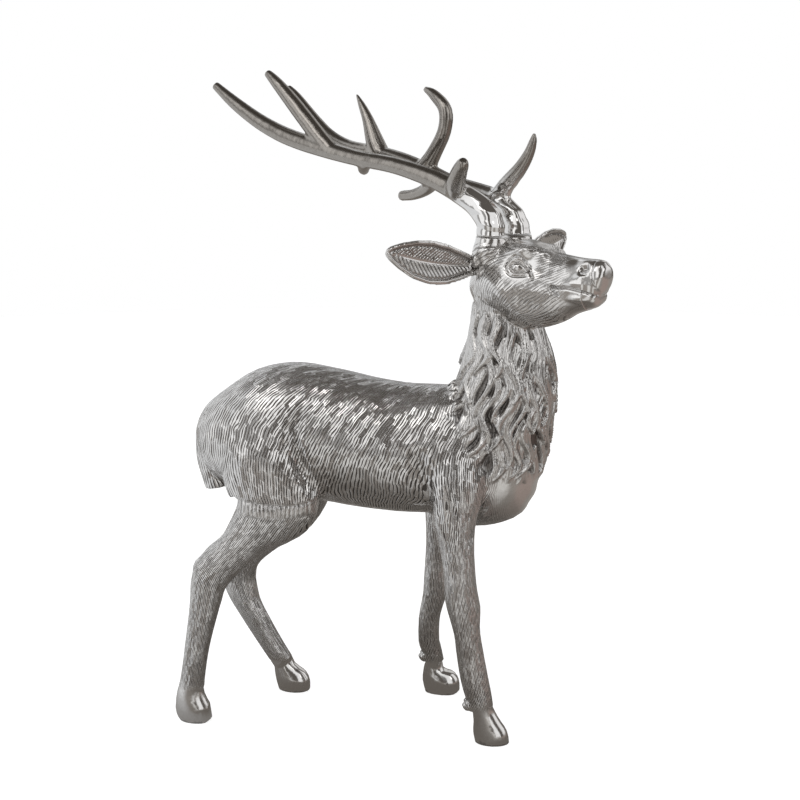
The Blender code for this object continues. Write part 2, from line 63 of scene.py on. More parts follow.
# The head is turned to the stag's right, and its own axes run forward, to its left and up
HEAD_TURN = math.radians(34.0)
HEAD_AT = np.array([132.5, 0.0, 430.0])
FORWARD = np.array([math.cos(HEAD_TURN), -math.sin(HEAD_TURN), 0.0])
LEFTWARD = np.array([math.sin(HEAD_TURN), math.cos(HEAD_TURN), 0.0])
UPWARD = np.array([0.0, 0.0, 1.0])
HEAD_AXES = np.array([FORWARD, LEFTWARD, UPWARD])

# Where each antler stands on the head: forward of the ears, out from the middle, and height
PEDICLE_FORWARD = 11.3
PEDICLE_OUT = 18.0
SEAT_HEIGHT = 456.5

# Rings of each member: place of the centre, half depth across the member, half width to its sides
TORSO = (
    (-143, 0, 265, 13, 12),
    (-138, 0, 265, 24.5, 21),
    (-128, 0, 264.5, 37, 31),
    (-110, 0, 264.5, 49, 39),
    (-85, 0, 266, 61, 45),
    (-50, 0, 270, 66.5, 46),
    (-18, 0, 269, 63, 45),
    (16, 0, 263.5, 61.5, 45),
    (50, 0, 260, 60.5, 44),
    (85, 0, 259.5, 60.5, 44),
    (115, 0, 255.5, 66.5, 42),
    (139, 0, 255.5, 62, 37),
    (154, 0, 259, 48.5, 32),
    (166.5, 0, 262.5, 35, 26),
    (176, 0, 264, 22.5, 17),
    (180, 0, 264, 12, 9),
)
NECK = (
    (138, 0, 222, 32, 28),
    (138, 0, 255, 41, 35),
    (141, 0, 290, 43.5, 38),
    (145, 0, 318, 42.5, 38),
    (146.5, 0, 345, 39, 35),
    (145, 0, 366, 33.5, 32),
    (142.5, 0, 395, 28.5, 29),
    (141, 0, 421, 27, 27),
    (139, 0, 437, 16, 16),
)
TAIL = (
    (-112, 0, 300, 9, 9),
    (-123, 0, 288, 13.5, 12),
    (-131, 0, 270, 15.5, 13.5),
    (-132, 0, 245, 15, 13.5),
    (-129, 0, 227, 13.5, 12.5),
    (-127, 0, 215, 12, 12),
)
RIGHT_FORE = (
    (112, -26, 272, 30, 14),
    (107, -32, 240, 27, 17),
    (104, -38, 208, 21, 16),
    (107, -43, 182, 16, 13),
    (110, -46, 157, 14.5, 12),
    (112, -47, 134, 15, 12),
    (115, -48, 118, 13.8, 11.5),
    (118, -49, 100, 12, 9.5),
    (121, -49, 80, 12.5, 9),
    (125, -50, 59, 12.7, 9.5),
    (129, -50, 43, 12, 10),
    (133, -50, 31, 10, 9.5),
)
LEFT_FORE = (
    (95, 26, 266, 30, 14),
    (88, 34, 232, 26, 17),
    (83, 42, 200, 19, 15),
    (78, 47, 163, 13, 11.5),
    (75, 50, 140, 11, 10.5),
    (74, 51, 120, 11.5, 10),
    (72, 52, 100, 10.9, 9.5),
    (67.7, 53, 79, 10.4, 8.8),
    (67, 54, 56, 10.4, 8.8),
    (69, 56, 46, 10, 9),
    (73, 58, 31, 9, 8.5),
)
RIGHT_HIND = (
    (-78, -24, 292, 34, 16),
    (-73, -27, 256, 45, 22),
    (-63, -31, 215, 42.5, 22),
    (-71, -36, 197, 33, 19),
    (-85, -39, 182, 22.8, 16),
    (-98.2, -41, 166.2, 18.8, 14),
    (-113, -43, 153, 18.8, 12.5),
    (-124, -44, 136, 17, 12),
    (-127.5, -45, 119, 15.2, 10.5),
    (-130.5, -46, 103, 13.5, 9.5),
    (-135.5, -47, 78, 12, 8.8),
    (-138.5, -48, 59, 11.4, 8.8),
    (-141.5, -48, 40, 11.6, 9.5),
    (-143, -48, 30, 12.5, 10.5),
)
LEFT_HIND = (
    (-78, 24, 292, 34, 16),
    (-70, 27, 254, 44, 22),
    (-62, 30, 218, 40, 21),
    (-70, 32, 188, 31, 18),
    (-94, 34, 161, 21, 15),
    (-112, 35, 138, 16, 13),
    (-119, 36, 118, 17, 12),
    (-115.5, 36, 100.5, 15.5, 11),
    (-109, 36, 85, 13, 10),
    (-98.8, 36, 67, 12, 9.5),
    (-86.3, 37, 45.5, 11, 9.3),
    (-76.3, 39, 28.5, 10.4, 9.5),
)
# A hoof widens from the coronet to the ground: shift forward, height, half length, half width
FORE_HOOF = ((0, 30, 9.5, 9), (2.5, 21, 11.5, 10), (5, 12, 14.4, 11), (8, 4, 15.6, 11.8), (9, -4, 15.6, 11.8))
LONG_HOOF = (
    (-3, 31, 8.5, 8.5),
    (-4, 23, 10.3, 10),
    (-1.5, 15, 14.8, 11.5),
    (4, 7, 18.5, 12.3),
    (9, -4, 14.5, 11),
)
STEPPING_HOOF = (
    (-1.5, 31, 9, 8.5),
    (-0.3, 23, 11, 10),
    (3.3, 15, 14.2, 11.5),
    (8.3, 7, 16.8, 12.3),
    (12, -4, 13.6, 11),
)
HIND_HOOF = ((0, 32, 11.5, 10), (1.2, 19, 15.2, 11.5), (3.5, 9, 17, 12.6), (10.5, -4, 12, 11))
HOOVES = (
    (133, -50, FORE_HOOF),
    (75, 60, LONG_HOOF),
    (-144.5, -48, HIND_HOOF),
    (-75, 41, STEPPING_HOOF),
)
DEWCLAWS = ((119.5, -50, 34), (62, 57, 37))
LEGS = (RIGHT_FORE, LEFT_FORE, RIGHT_HIND, LEFT_HIND)

# The head, by distance forward: height of the middle, half depth, half width
SKULL = (
    (-16, -1, 8, 7),
    (-11, -4, 18, 14),
    (0, -10, 31.5, 25.5),
    (25, -12, 37, 31),
    (48, -15.5, 38, 28),
    (68, -15.5, 32.7, 23),
    (88, -12.4, 25.6, 18),
    (103, -10.7, 22.3, 15.8),
    (113, -10.4, 21.8, 15.2),
    (121, -9.8, 20.4, 14),
    (125, -9, 16, 11.5),
)
# An ear, by share of its length: half width of the leaf and how far its rims fold forward
EAR_ROOT = (0.0, 24.0, 0.0)
NEAR_EAR_TIP = (-12.0, 124.0, 17.5)
FAR_EAR_TIP = (-13.5, 120.0, 18.0)
EAR_DROOP = 3.5
EAR = (
    (-0.06, 7.5, 3.0, 2.2),
    (0.06, 7.2, 6.5, 1.5),
    (0.20, 11.8, 8.5, 1.0),
    (0.38, 17.2, 8.0, 1.0),
    (0.55, 19.0, 7.0, 1.0),
    (0.72, 16.8, 5.5, 1.0),
    (0.86, 11.6, 3.5, 1.0),
    (0.95, 6.5, 1.5, 1.0),
    (1.00, 2.0, 0.3, 0.8),
)

# Antlers, drawn in the upright plane each sweeps back in: distance back, height over the seat,
# distance out of the plane, and radius
RIGHT_SWEEP = math.radians(8.0)
LEFT_SWEEP = math.radians(0.0)
RIGHT_BEAM = (
    (0, 0, 0, 1.04),
    (1, 11, 0, 1.04),
    (9, 22, 0, 0.96),
    (24, 31.7, 0, 0.88),
    (42, 40, 0, 0.78),
    (63, 48, 0, 0.72),
    (91, 55.6, 0, 0.66),
    (113, 60, 0, 0.64),
    (142, 63.6, 0, 0.62),
    (165, 67.8, 0, 0.65),
    (187, 72.6, 0, 0.69),
    (214, 79, 0, 0.71),
    (239, 86.5, 0, 0.69),
    (267, 98.5, 0, 0.64),
    (297, 115.5, 0, 0.54),
    (322, 132.5, 0, 0.36),
)
RIGHT_TINES = (
    ((174, 69, 0, 0.62), (190, 82, 0, 0.68), (208, 100, 0, 0.67), (226, 118, 0, 0.61), (242.5, 133.5, 0, 0.49),
     (254.5, 143.5, 0, 0.33)),
    ((35, 36, 2, 0.78), (29, 44, 12, 0.74), (19, 54.5, 22, 0.62), (11, 61.5, 29, 0.50), (7.5, 65, 32, 0.34)),
    ((60, 45, 0, 0.58), (76, 37.2, -9, 0.50), (94, 32, -16, 0.44), (112, 30.2, -22, 0.42)),
    ((136, 61, 0, 0.56), (145, 56, -8, 0.50), (150, 53.5, -15, 0.44), (152, 53, -20, 0.30)),
)
LEFT_BEAM = (
    (0, 0, 0, 1.04),
    (3.5, 11, 0, 0.98),
    (14, 22.5, 0, 0.84),
    (29, 30.5, 0, 0.76),
    (46, 35, 0, 0.70),
    (80, 42, 0, 0.68),
    (112, 53, 0, 0.66),
    (144, 62, 0, 0.64),
    (178, 68, 0, 0.64),
    (212, 72.8, 0, 0.57),
    (240, 82.5, 0, 0.57),
    (262, 98, 0, 0.52),
    (288, 121, 0, 0.40),
    (302, 132, 0, 0.25),
)
LEFT_TINES = (
    ((24, 29, 0, 0.78), (12, 43, 0, 0.66), (-2.5, 57, 0, 0.54), (-12, 70, 0, 0.43), (-16.5, 81, 0, 0.31),
     (-17.8, 88, 0, 0.14)),
    ((112, 54, 0, 0.80), (100.5, 69, 0, 0.62), (88, 89, 0, 0.56), (87, 108, 0, 0.55), (101, 121.5, 0, 0.44),
     (113, 127.5, 0, 0.22)),
    ((171, 66, 0, 0.84), (178, 78, 0, 0.77), (187.5, 99, 0, 0.49), (196, 113, 0, 0.32), (203, 123.5, 0, 0.12)),
    ((226, 74, 0, 0.5), (248, 77, 0, 0.48), (270, 79, 0, 0.40), (290, 83, 0, 0.30), (304, 87, 0, 0.18)),
)


def curve_through(stations, steps=STEPS):
    """A smooth run of rows through the stations, with the given number of steps between two of them."""
    rows = np.array(stations, float)
    padded = np.vstack([2 * rows[0] - rows[1], rows, 2 * rows[-1] - rows[-2]])
    out = []
    for i in range(len(rows) - 1):
        before, start, end, after = padded[i:i + 4]
        for t in np.arange(steps) / steps:
            bend = (2 * before - 5 * start + 4 * end - after) * t ** 2
            twist = (3 * start - before - 3 * end + after) * t ** 3
            out.append(0.5 * (2 * start + (end - before) * t + bend + twist))
    out.append(rows[-1])
    return np.array(out)


def loft(bm, rows, side, sides=SIDES):
    """A closed tube through rows of (x, y, z, half depth, half width, fold); side points to its left."""
    centres = rows[:, :3]
    tangents = np.gradient(centres, axis=0)
    rings = []
    for row, tangent in zip(rows, tangents):
        along = Vector(tangent).normalized()
        across = (Vector(side) - along * along.dot(Vector(side))).normalized()
        depth = across.cross(along)
        turn = Matrix((depth * row[3], across * row[4], along)).transposed().to_4x4()
        last = len(rings) in (0, len(rows) - 1)
        made = bmesh.ops.create_circle(
            bm, cap_ends=last, segments=sides, radius=1.0, matrix=Matrix.Translation(row[:3]) @ turn
        )
        if len(row) > 5:
            for vert in made["verts"]:
                share = (vert.co - Vector(row[:3])).dot(across) / row[4]
                vert.co += depth * row[5] * share * share
        rings.append({edge for vert in made["verts"] for edge in vert.link_edges})
    for lower, upper in zip(rings, rings[1:]):
        bmesh.ops.bridge_loops(bm, edges=list(lower | upper))


def fused(bm, name, grain, smoothing):
    """The closed shapes of bm grown into one skin, and its mesh with even faces of about that grain."""
    bmesh.ops.recalc_face_normals(bm, faces=bm.faces)
    mesh = bpy.data.meshes.new(name)
    bm.to_mesh(mesh)
    bm.free()
    rough = bpy.data.objects.new(name + "_rough", mesh)
    bpy.context.scene.collection.objects.link(rough)
    remesh = rough.modifiers.new("skin", "REMESH")
    remesh.mode = "VOXEL"
    remesh.voxel_size = grain
    smooth = rough.modifiers.new("soften", "SMOOTH")
    smooth.factor = 0.5
    smooth.iterations = smoothing
    skin = bpy.data.meshes.new_from_object(rough.evaluated_get(bpy.context.evaluated_depsgraph_get()))
    bpy.data.objects.remove(rough, do_unlink=True)
    return skin


def points_of(mesh):
    points = np.empty(len(mesh.vertices) * 3)
    mesh.vertices.foreach_get("co", points)
    return points.reshape(-1, 3)


def normals_of(mesh):
    normals = np.empty(len(mesh.vertices) * 3, np.float32)
    mesh.vertex_normals.foreach_get("vector", normals)
    return normals.reshape(-1, 3).astype(float)


def place_points(mesh, points):
    mesh.vertices.foreach_set("co", points.reshape(-1))
    mesh.update()


def head_place(forward, left, up):
    return HEAD_AT + forward * FORWARD + left * LEFTWARD + up * UPWARD


def in_head(points):
    return (points - HEAD_AT) @ HEAD_AXES.T


def swell(points, push, centre, reach, rise):
    """Moves the surface round a centre along push by rise, fading out over its reach."""
    fade = np.exp(-2.0 * (((points - centre) / reach) ** 2).sum(axis=1))
    return points + push * (rise * fade)[:, None]


def distance_to(points, path):
    """The least distance from each point to a line through the points of the path."""
    nearest = np.full(len(points), np.inf)
    for start, end in zip(path, path[1:]):
        run = end - start
        share = np.clip(((points - start) @ run) / (run @ run), 0.0, 1.0)
        gap = np.linalg.norm(points - start - share[:, None] * run, axis=1)
        nearest = np.minimum(nearest, gap)
    return nearest


def score(points, normals, path, width, depth):
    """Cuts a soft groove of a depth along a path that runs near the surface."""
    path = curve_through(path, 3)
    return points - normals * (depth * np.exp(-(distance_to(points, path) / width) ** 2))[:, None]


def wander(number):
    """A fixed number from 0 to 1 that looks like chance."""
    return math.modf(abs(math.sin(number * 12.9898 + 4.1) * 4375.85453))[0]


def ramp(values, low, high):
    """0 below low, 1 above high, and a soft step between; low may be the larger."""
    share = np.clip((values - low) / (high - low), 0.0, 1.0)
    return share * share * (3.0 - 2.0 * share)


def unit_rows(vectors):
    return vectors / np.maximum(np.linalg.norm(vectors, axis=1), 1e-9)[:, None]


def refreshed(mesh, points):
    """Puts the points on the mesh and gives its new normals."""
    place_points(mesh, points)
    return normals_of(mesh)


def finer(mesh, chosen):
    """Splits the faces between the chosen points once more and softens them, for the small forms there."""
    bm = bmesh.new()
    bm.from_mesh(mesh)
    bm.verts.ensure_lookup_table()
    edges = [edge for edge in bm.edges if chosen[edge.verts[0].index] and chosen[edge.verts[1].index]]
    split = bmesh.ops.subdivide_edges(bm, edges=edges, cuts=1, use_grid_fill=True)
    made = split["geom_split"] + split["geom_inner"]
    verts = list({item for item in made if isinstance(item, bmesh.types.BMVert)})
    verts += [vert for vert, wanted in zip(bm.verts, chosen) if wanted]
    for _ in range(3):
        bmesh.ops.smooth_vert(bm, verts=verts, factor=0.5, use_axis_x=True, use_axis_y=True, use_axis_z=True)
    bm.to_mesh(mesh)
    bm.free()


# How readily each part of the skin gives up triangles: the more, the coarser it becomes
HEAD_COARSER = 0.1
MANE_COARSER = 0.4
COAT_COARSER = 1.0


def thinned(mesh, name, triangles, coarser):
    """The mesh with no more than the given number of triangles; coarser says where they may go."""
    dense = bpy.data.objects.new(name + "_dense", mesh)
    bpy.context.scene.collection.objects.link(dense)
    count = sum(len(face.vertices) - 2 for face in mesh.polygons)
    thin = dense.modifiers.new("thin", "DECIMATE")
    thin.ratio = min(1.0, triangles / count)
    group = dense.vertex_groups.new(name="coarser")
    for level in (HEAD_COARSER, MANE_COARSER, COAT_COARSER):
        group.add([int(i) for i in np.flatnonzero(coarser == level)], level, "REPLACE")
    thin.vertex_group = group.name
    done = bpy.data.meshes.new_from_object(dense.evaluated_get(bpy.context.evaluated_depsgraph_get()))
    bpy.data.objects.remove(dense, do_unlink=True)
    return done


# Muscles, drawn on the left side: place, reach along the three axes, and rise
MUSCLES = {
    "haunch": ((-70, 44, 262), (44, 30, 48), 4.0),
    "shoulder": ((100, 42, 252), (28, 30, 42), 3.5),
    "ribs": ((20, 44, 258), (46, 30, 30), 2.0),
    "elbow_hollow": ((115, 43, 214), (6, 9, 7), -3.4),
    "forearm": ((108, 50, 190), (9, 10, 20), 1.4),
}
# Creases between them, drawn on the left side: half width, depth, and places
CREASES = {
    "flank": (6.0, 4.6, ((-30, 46, 318), (-36, 47, 300), (-41, 47, 276), (-36, 46, 250), (-24, 44, 228))),
    "elbow": (4.0, 2.6, ((128, 40, 262), (122, 42, 238), (116, 42, 216))),
    "behind_foreleg": (7.0, 3.2, ((72, 44, 262), (76, 43, 236), (80, 42, 214))),
    "beside_tail": (2.2, 3.8, ((-133, 13, 292), (-128, 16, 266), (-120, 17, 243), (-111, 15, 222))),
    "foreleg_front": (4.0, 1.6, ((133, 42, 240), (128, 44, 214), (121, 48, 190))),
    "gaskin": (3.0, 1.2, ((-66, 48, 205), (-86, 50, 188), (-108, 52, 168), (-122, 52, 150))),
    "tendon": (2.2, 1.2, ((-122, 54, 136), (-131, 54, 104), (-136, 54, 70))),
}
# How dark the painted shade in the deeper of these creases is
CREASE_SHADE = {"flank": 0.45, "beside_tail": 0.7, "behind_foreleg": 0.4, "elbow": 0.5}
# Joints that swell one way: place, reach, and how far they move
JOINTS = {
    "right_hock": ((-139, -44, 154), (9, 11, 11), (-3.6, 0, 1.3)),
    "left_hock": ((-132, 36, 128), (9, 11, 11), (-3.6, 0, 1.3)),
    "right_knee": ((126, -47, 126), (10, 12, 16), (1.6, 0, 0)),
    "left_knee": ((84, 51, 106), (10, 12, 14), (1.6, 0, 0)),
}

# The face, seen from its side: place as forward and up, reach along each, and rise
FACE_SWELLS = {
    "brow_ridge": ((66, 12), (8, 5), 3.4),
    "brow": ((50, 14.5), (16, 5.5), 6.0),
    "eye_socket": ((50, 2), (15, 9), -4.2),
    "eye_mound": ((47, 2.4), (8, 5.5), 2.6),
    "below_eye": ((70, -1), (11, 7), -2.4),
    "cheek": ((31, -19), (20, 14), 2.6),
    "jaw_hollow": ((56, -30), (14, 10), -1.6),
    "ear_root": ((4, 2), (6, 9), 3.2),
    "temple": ((9, 13), (18, 11), 3.4),
    "temple_bump": ((20, 14.5), (6, 4.5), 2.4),
    "nostril_wing": ((107, 8.5), (9, 4.5), 1.5),
    "nostril_floor": ((106, -3.5), (8, 3.5), 1.2),
    "upper_lip": ((99, -8.5), (14, 4.5), 1.4),
    "lower_lip": ((104, -22), (14, 4), 1.4),
    "chin": ((119, -24), (6, 4), 1.0),
}
# Grooves and, with a minus, ridges of the face: half width, depth, and places
FACE_GROOVES = {
    "mouth": (1.1, 2.2, ((80, -12.5), (87, -13.4), (94.5, -13), (107.7, -15.3), (117.2, -17.9), (127, -17.6))),
    "mouth_corner": (1.3, 0.9, ((80, -12.5), (81, -16.5), (86, -19.5))),
    "nostril": (2.3, 3.2, ((106.6, 3.8), (109.4, 4.6))),
    "nostril_comma": (0.8, 0.9, ((103.6, 2.0), (105.6, -0.6), (110.4, -1.0))),
    "nose_pad": (0.9, 0.6, ((113.5, 13), (115.1, 8.4), (116.6, -1), (119.2, -11.3), (120.5, -15))),
    "upper_lid": (0.7, 1.3, ((40.6, 2.2), (42.6, 5), (46, 6.4), (50.4, 5), (57.5, -1))),
    "lower_lid": (0.7, 1.0, ((40.6, 2.2), (43.4, -0.6), (47.4, -1.6), (52, -1.4), (57.5, -1))),
    "upper_lid_rim": (1.0, -1.1, ((38.4, 1.8), (41, 6.9), (46.2, 8.9), (52.2, 6.9), (59.6, -0.2))),
    "lower_lid_rim": (0.9, -0.8, ((38.6, 0.9), (42.2, -2.9), (47.6, -4), (53.4, -3.4), (59, -2.2))),
    "hood": (0.9, 1.0, ((36.6, 1.5), (38, 7.4), (43.2, 10.8), (50, 9.4), (57.6, 3))),
    "bag": (0.8, 0.7, ((37.4, -1.8), (42, -5.4), (49, -6), (56, -5))),
    "tear_duct": (1.1, 1.7, ((57.6, -1.2), (60.6, -3.8), (62.4, -7.6))),
    "ear_fold": (1.2, 1.6, ((11.5, 6), (12.5, -1), (9.5, -8), (3.5, -12))),
    "ear_fold_rim": (1.6, -1.4, ((8, 7), (8.8, -1), (6, -7))),
}
# The front of the eyeball: place, half length and half height, and rise
EYEBALL = ((47.0, 2.3), (6.4, 3.6), 2.0)
# The edge of the smooth plate along the bridge of the nose: forward, out and up
BRIDGE_EDGE = ((38, 17, 19), (52, 14, 16.5), (68, 10, 15), (86, 7, 13.5))
BRIDGE_EDGE_WIDTH = 1.3
BRIDGE_EDGE_DEPTH = 1.2
# The nose: where its lean sets in and is full, the half width that it takes in, and how far it leans
NOSE_SPAN = (102.0, 120.0)
NOSE_HALF_WIDTH = (24.0, 30.0)
NOSE_LEAN = 0.22
# The rounding of the nose's end: its middle, half width and height, and how far it bulges
NOSE_MIDDLE = -1.0
NOSE_END = np.array([12.0, 15.5])
NOSE_BULGE = 4.6

# Clefts of a hoof: half width, depth, and places as forward, share of its splay, out and up
CLEFTS = {
    "front": (1.3, 4.2, ((4, 0.5, -13, 30), (4.5, 0.75, -14.5, 13), (5, 1.0, -16, -4))),
    "rear": (1.6, 2.8, ((-3, 0.0, 12, 28), (-4.5, 0.5, 13.5, 12), (-6, 1.0, 15, -4))),
}
# The groove round the top of a hoof: height, radius, half width and depth
CORONET = 31.0
CORONET_RADIUS = 13.5
CORONET_WIDTH = 1.6
CORONET_DEPTH = 1.0

# The mane, in shares: locks in staggered rows round the neck
MANE_TOP = 396.0
MANE_FOOT = 234.0
# How much higher it ends at the nape, and how far the skin sinks between its locks
NAPE_RISE = 58.0
MANE_SINK = 1.8
# A lock: length, width, rise at its tip, how far it sways, how many waves it has, and its drift to the rear
LOCK_LENGTH = 70.0
LOCK_WIDTH = 6.7
LOCK_RISE = 8.0
LOCK_SWAY = 5.6
LOCK_WAVES = 1.3
LOCK_DRIFT = 16.0
# The height from row to row, the locks in a row, and the strands across a lock
ROW_PITCH = 23.0
LOCKS_IN_ROW = 17
STRANDS = 2.6

# The cast seam round each thigh: its ends, the height of its edges and how far it bows, then its ticks'
# spacing and half width, and how far the band rises and its ticks and edges are cut
SEAM_SPAN = (-92.0, -10.0)
SEAM_EDGES = (216.0, 203.5)
SEAM_BOW = 4.0
SEAM_PITCH = 3.8
SEAM_TICK = 0.7
SEAM_RELIEF = (0.6, 1.1, 0.8)

# How far from the middle of an antler its seat is levelled
SEAT_RADIUS = 17.0


def round_neck(points):
    """For each point: its angle round the neck, the neck's girth there and how far out it stands."""
    rows = curve_through(NECK, 6)
    order = np.argsort(rows[:, 2])
    middle = np.interp(points[:, 2], rows[order, 2], rows[order, 0])
    girth = np.interp(points[:, 2], rows[order, 2], 0.5 * (rows[order, 3] + rows[order, 4]))
    angle = np.arctan2(points[:, 1], points[:, 0] - middle)
    reach = np.hypot(points[:, 0] - middle, points[:, 1])
    return angle, girth, reach


def mane_locks(points, normals):
    """Locks of hair round the neck, each a wavy ridge of a few strands that tapers and lifts to its tip.

    Gives the new points, how far each lies in the mane, the lean of its lock and the painted shade by how deep
    it lies between locks.
    """
    angle, girth, reach = round_neck(points)
    lift = np.zeros(len(points))
    lean_of = np.zeros(len(points))
    crown = np.zeros(len(points))
    foot = MANE_FOOT + NAPE_RISE * np.clip((-np.cos(angle) - 0.1) / 0.9, 0.0, 1.0)
    row_count = int((MANE_TOP - MANE_FOOT) / ROW_PITCH) + 1
    near = (points[:, 2] < MANE_TOP + 8) & (points[:, 2] > MANE_FOOT - 46) & (reach < girth + 16)
    chosen = np.flatnonzero(near)
    height = points[chosen, 2]
    for row in range(row_count):
        for number in range(LOCKS_IN_ROW):
            seed = row * 31.7 + number * 7.3
            root = MANE_TOP - row * ROW_PITCH - 11.0 * wander(seed)
            length = LOCK_LENGTH * (0.75 + 0.5 * wander(seed + 1))
            width = LOCK_WIDTH * (0.75 + 0.5 * wander(seed + 2))
            at = (number + 0.5 * (row % 2) + 0.4 * wander(seed + 3)) / LOCKS_IN_ROW * 2 * math.pi
            down = (root - height) / length
            phase = 0.3 * math.sin(2 * at) + 0.37 * row + 0.3 * wander(seed + 4)
            bend = 2 * math.pi * (LOCK_WAVES * down + phase)
            drift = LOCK_DRIFT * math.sin(at) * (row / row_count) ** 1.5
            sway = LOCK_SWAY * np.sin(bend) * np.clip(down + 0.3, 0, 1) + drift * np.clip(down, 0, 1) ** 2
            turn = angle[chosen] - at
            turn = (turn + math.pi) % (2 * math.pi) - math.pi
            across = turn * girth[chosen] - sway
            taper = width * np.clip(1.0 - down, 0.0, 1.0) ** 0.5 * np.clip(down * 6 + 0.3, 0.0, 1.0)
            share = across / np.maximum(taper, 0.2)
            inside = (down > 0) & (down < 1) & (np.abs(share) < 1)
            dome = np.clip(1 - np.abs(share) ** 2.4, 0, 1) ** 0.5
            strands = 0.5 + 0.5 * np.cos(share * STRANDS * math.pi + 6.0 * wander(seed + 5))
            lock = np.where(inside, dome * (0.3 + 0.7 * down) * (0.84 + 0.16 * strands), 0.0)
            higher = lock > lift[chosen]
            lift[chosen[higher]] = lock[higher]
            crown[chosen[higher]] = dome[higher] * (0.55 + 0.45 * strands[higher])
            lean = LOCK_SWAY * np.cos(bend) * 2 * math.pi * LOCK_WAVES / length + 2 * drift * down / length
            lean_of[chosen[higher]] = lean[higher]
    fade = ramp(points[:, 2], foot, foot + 18.0) * ramp(points[:, 2], MANE_TOP + 8, MANE_TOP - 6)
    fade *= np.clip((girth + 13.0 - reach) / 5.0, 0, 1)
    moved = points + normals * ((LOCK_RISE * lift - MANE_SINK) * fade)[:, None]
    # painted shade in the gaps between locks, away from their crowns
    gaps = fade * ramp(crown, 0.62, 0.12) * ramp(points[:, 2], MANE_TOP - 4, MANE_TOP - 26)
    return moved, fade, lean_of, gaps


def carve_muscles(points, normals):
    """Haunch, shoulder, ribs, hocks and knees, which stand out of the plain lofts, and their creases."""
    for side in (-1, 1):
        flip = np.array([1.0, side, 1.0])
        for place, reach, rise in MUSCLES.values():
            points = swell(points, normals, place * flip, reach, rise)
        for width, depth, path in CREASES.values():
            points = score(points, normals, path * flip, width, depth)
    for place, reach, push in JOINTS.values():
        points = swell(points, np.array(push), place, reach, 1.0)
    return points


def carve_seams(points, normals):
    """The band round each thigh where two castings meet: a low step and a row of short ticks.

    Gives the new points, painted shade by how deep each lies in a tick or edge cut, and which lie on the band.
    """
    begin, end = SEAM_SPAN
    top, foot = SEAM_EDGES
    bow = SEAM_BOW * np.sin((points[:, 0] - begin) / (end - begin) * math.pi)
    height = points[:, 2] - 0.03 * (points[:, 0] - begin) + bow
    inside = ramp(points[:, 0], begin - 4, begin + 4) * ramp(points[:, 0], end + 4, end - 4)
    inside = inside * ramp(np.abs(points[:, 1]), 30, 38) * np.clip(np.abs(normals[:, 1]) * 2 - 0.6, 0, 1)
    band = ramp(height, foot - 1.5, foot + 0.5) * ramp(height, top + 1.5, top - 0.5)
    off_tick = (points[:, 0] - begin) % SEAM_PITCH - 0.5 * SEAM_PITCH
    tick = np.exp(-(off_tick / SEAM_TICK) ** 2) * band
    edge = np.exp(-((height - top) / 1.1) ** 2) + 0.7 * np.exp(-((height - foot) / 1.0) ** 2)
    rise, tick_cut, edge_cut = SEAM_RELIEF
    relief = rise * band - tick_cut * tick - edge_cut * edge
    moved = points + normals * (relief * inside)[:, None]
    # painted shade in the ticks and edge cuts
    return moved, inside * np.maximum(0.8 * tick, 0.6 * edge), inside * band


def crease_shade(points):
    """How much painted shade each point takes from how deep it lies in a crease of the trunk."""
    dark = np.zeros(len(points))
    for side in (-1, 1):
        for name, strength in CREASE_SHADE.items():
            width, _, path = CREASES[name]
            away = distance_to(points, curve_through(path * np.array([1.0, side, 1.0]), 3))
            dark = np.maximum(dark, strength * np.exp(-(away / (0.8 * width)) ** 2))
    return dark


def lean_nose(points):
    """The nose leans forward at its top, so that the lower lip stands back, and its end is rounded."""
    local = in_head(points)
    begin, end = NOSE_SPAN
    inner, outer = NOSE_HALF_WIDTH
    on_nose = ramp(local[:, 0], begin, end) * ramp(np.abs(local[:, 1]), outer, inner)
    points = points + FORWARD * (NOSE_LEAN * (local[:, 2] + 2.0) * on_nose)[:, None]
    away = np.clip(np.linalg.norm((local[:, 1:] - np.array([0.0, NOSE_MIDDLE])) / NOSE_END, axis=1), 0, 1.15)
    ball = NOSE_BULGE * (0.4 - away ** 3) * ramp(local[:, 0], 107, 118)
    return points + FORWARD * ball[:, None]


def carve_face(points, normals):
    """Brows, eyes with their lids, nostrils, nose pad, mouth, cheeks and the fold at each ear's root.

    Gives the new points and how deep each lies in a groove, which the coat takes as painted shade.
    """
    local = in_head(points)
    profile = local[:, [0, 2]]
    rise = np.zeros(len(points))
    dark = np.zeros(len(points))
    flat = np.sqrt(np.clip(1.0 - (normals @ FORWARD) ** 2, 0.0, 1.0))
    for place, reach, height in FACE_SWELLS.values():
        rise += height * np.exp(-2.0 * (((profile - place) / reach) ** 2).sum(axis=1))
    place, halves, height = EYEBALL
    off = (((profile - place) / halves) ** 2).sum(axis=1)
    rise += height * np.sqrt(np.clip(1.0 - off, 0.0, 1.0))
    for width, depth, path in FACE_GROOVES.values():
        cut = np.exp(-(distance_to(profile, curve_through(path, 4)) / width) ** 2)
        rise -= depth * cut
        dark = np.maximum(dark, cut * (depth > 0))
    outer = ramp(np.abs(local[:, 1]), 3.0, 8.0)
    for side in (-1, 1):
        edge = [(forward, side * out, up) for forward, out, up in BRIDGE_EDGE]
        cut = np.exp(-(distance_to(local, curve_through(edge, 4)) / BRIDGE_EDGE_WIDTH) ** 2)
        rise -= BRIDGE_EDGE_DEPTH * cut
    return points + normals * (rise * outer * flat)[:, None], dark * outer


# The fused leaf of an ear comes out this much narrower than its rings
EAR_SHRINK = 0.93
# The rolled rim: how far it lies in from the edge, its half width and its rise
RIM_INSET = 1.2
RIM_WIDTH = 1.3
RIM_RISE = 1.3
# The trough inside the rim, the same way with its depth, and the groove along the middle: its half width and
# depth
TROUGH_INSET = 4.0
TROUGH_WIDTH = 1.1
TROUGH_DEPTH = 0.9
MIDLINE_WIDTH = 1.2
MIDLINE_DEPTH = 0.9
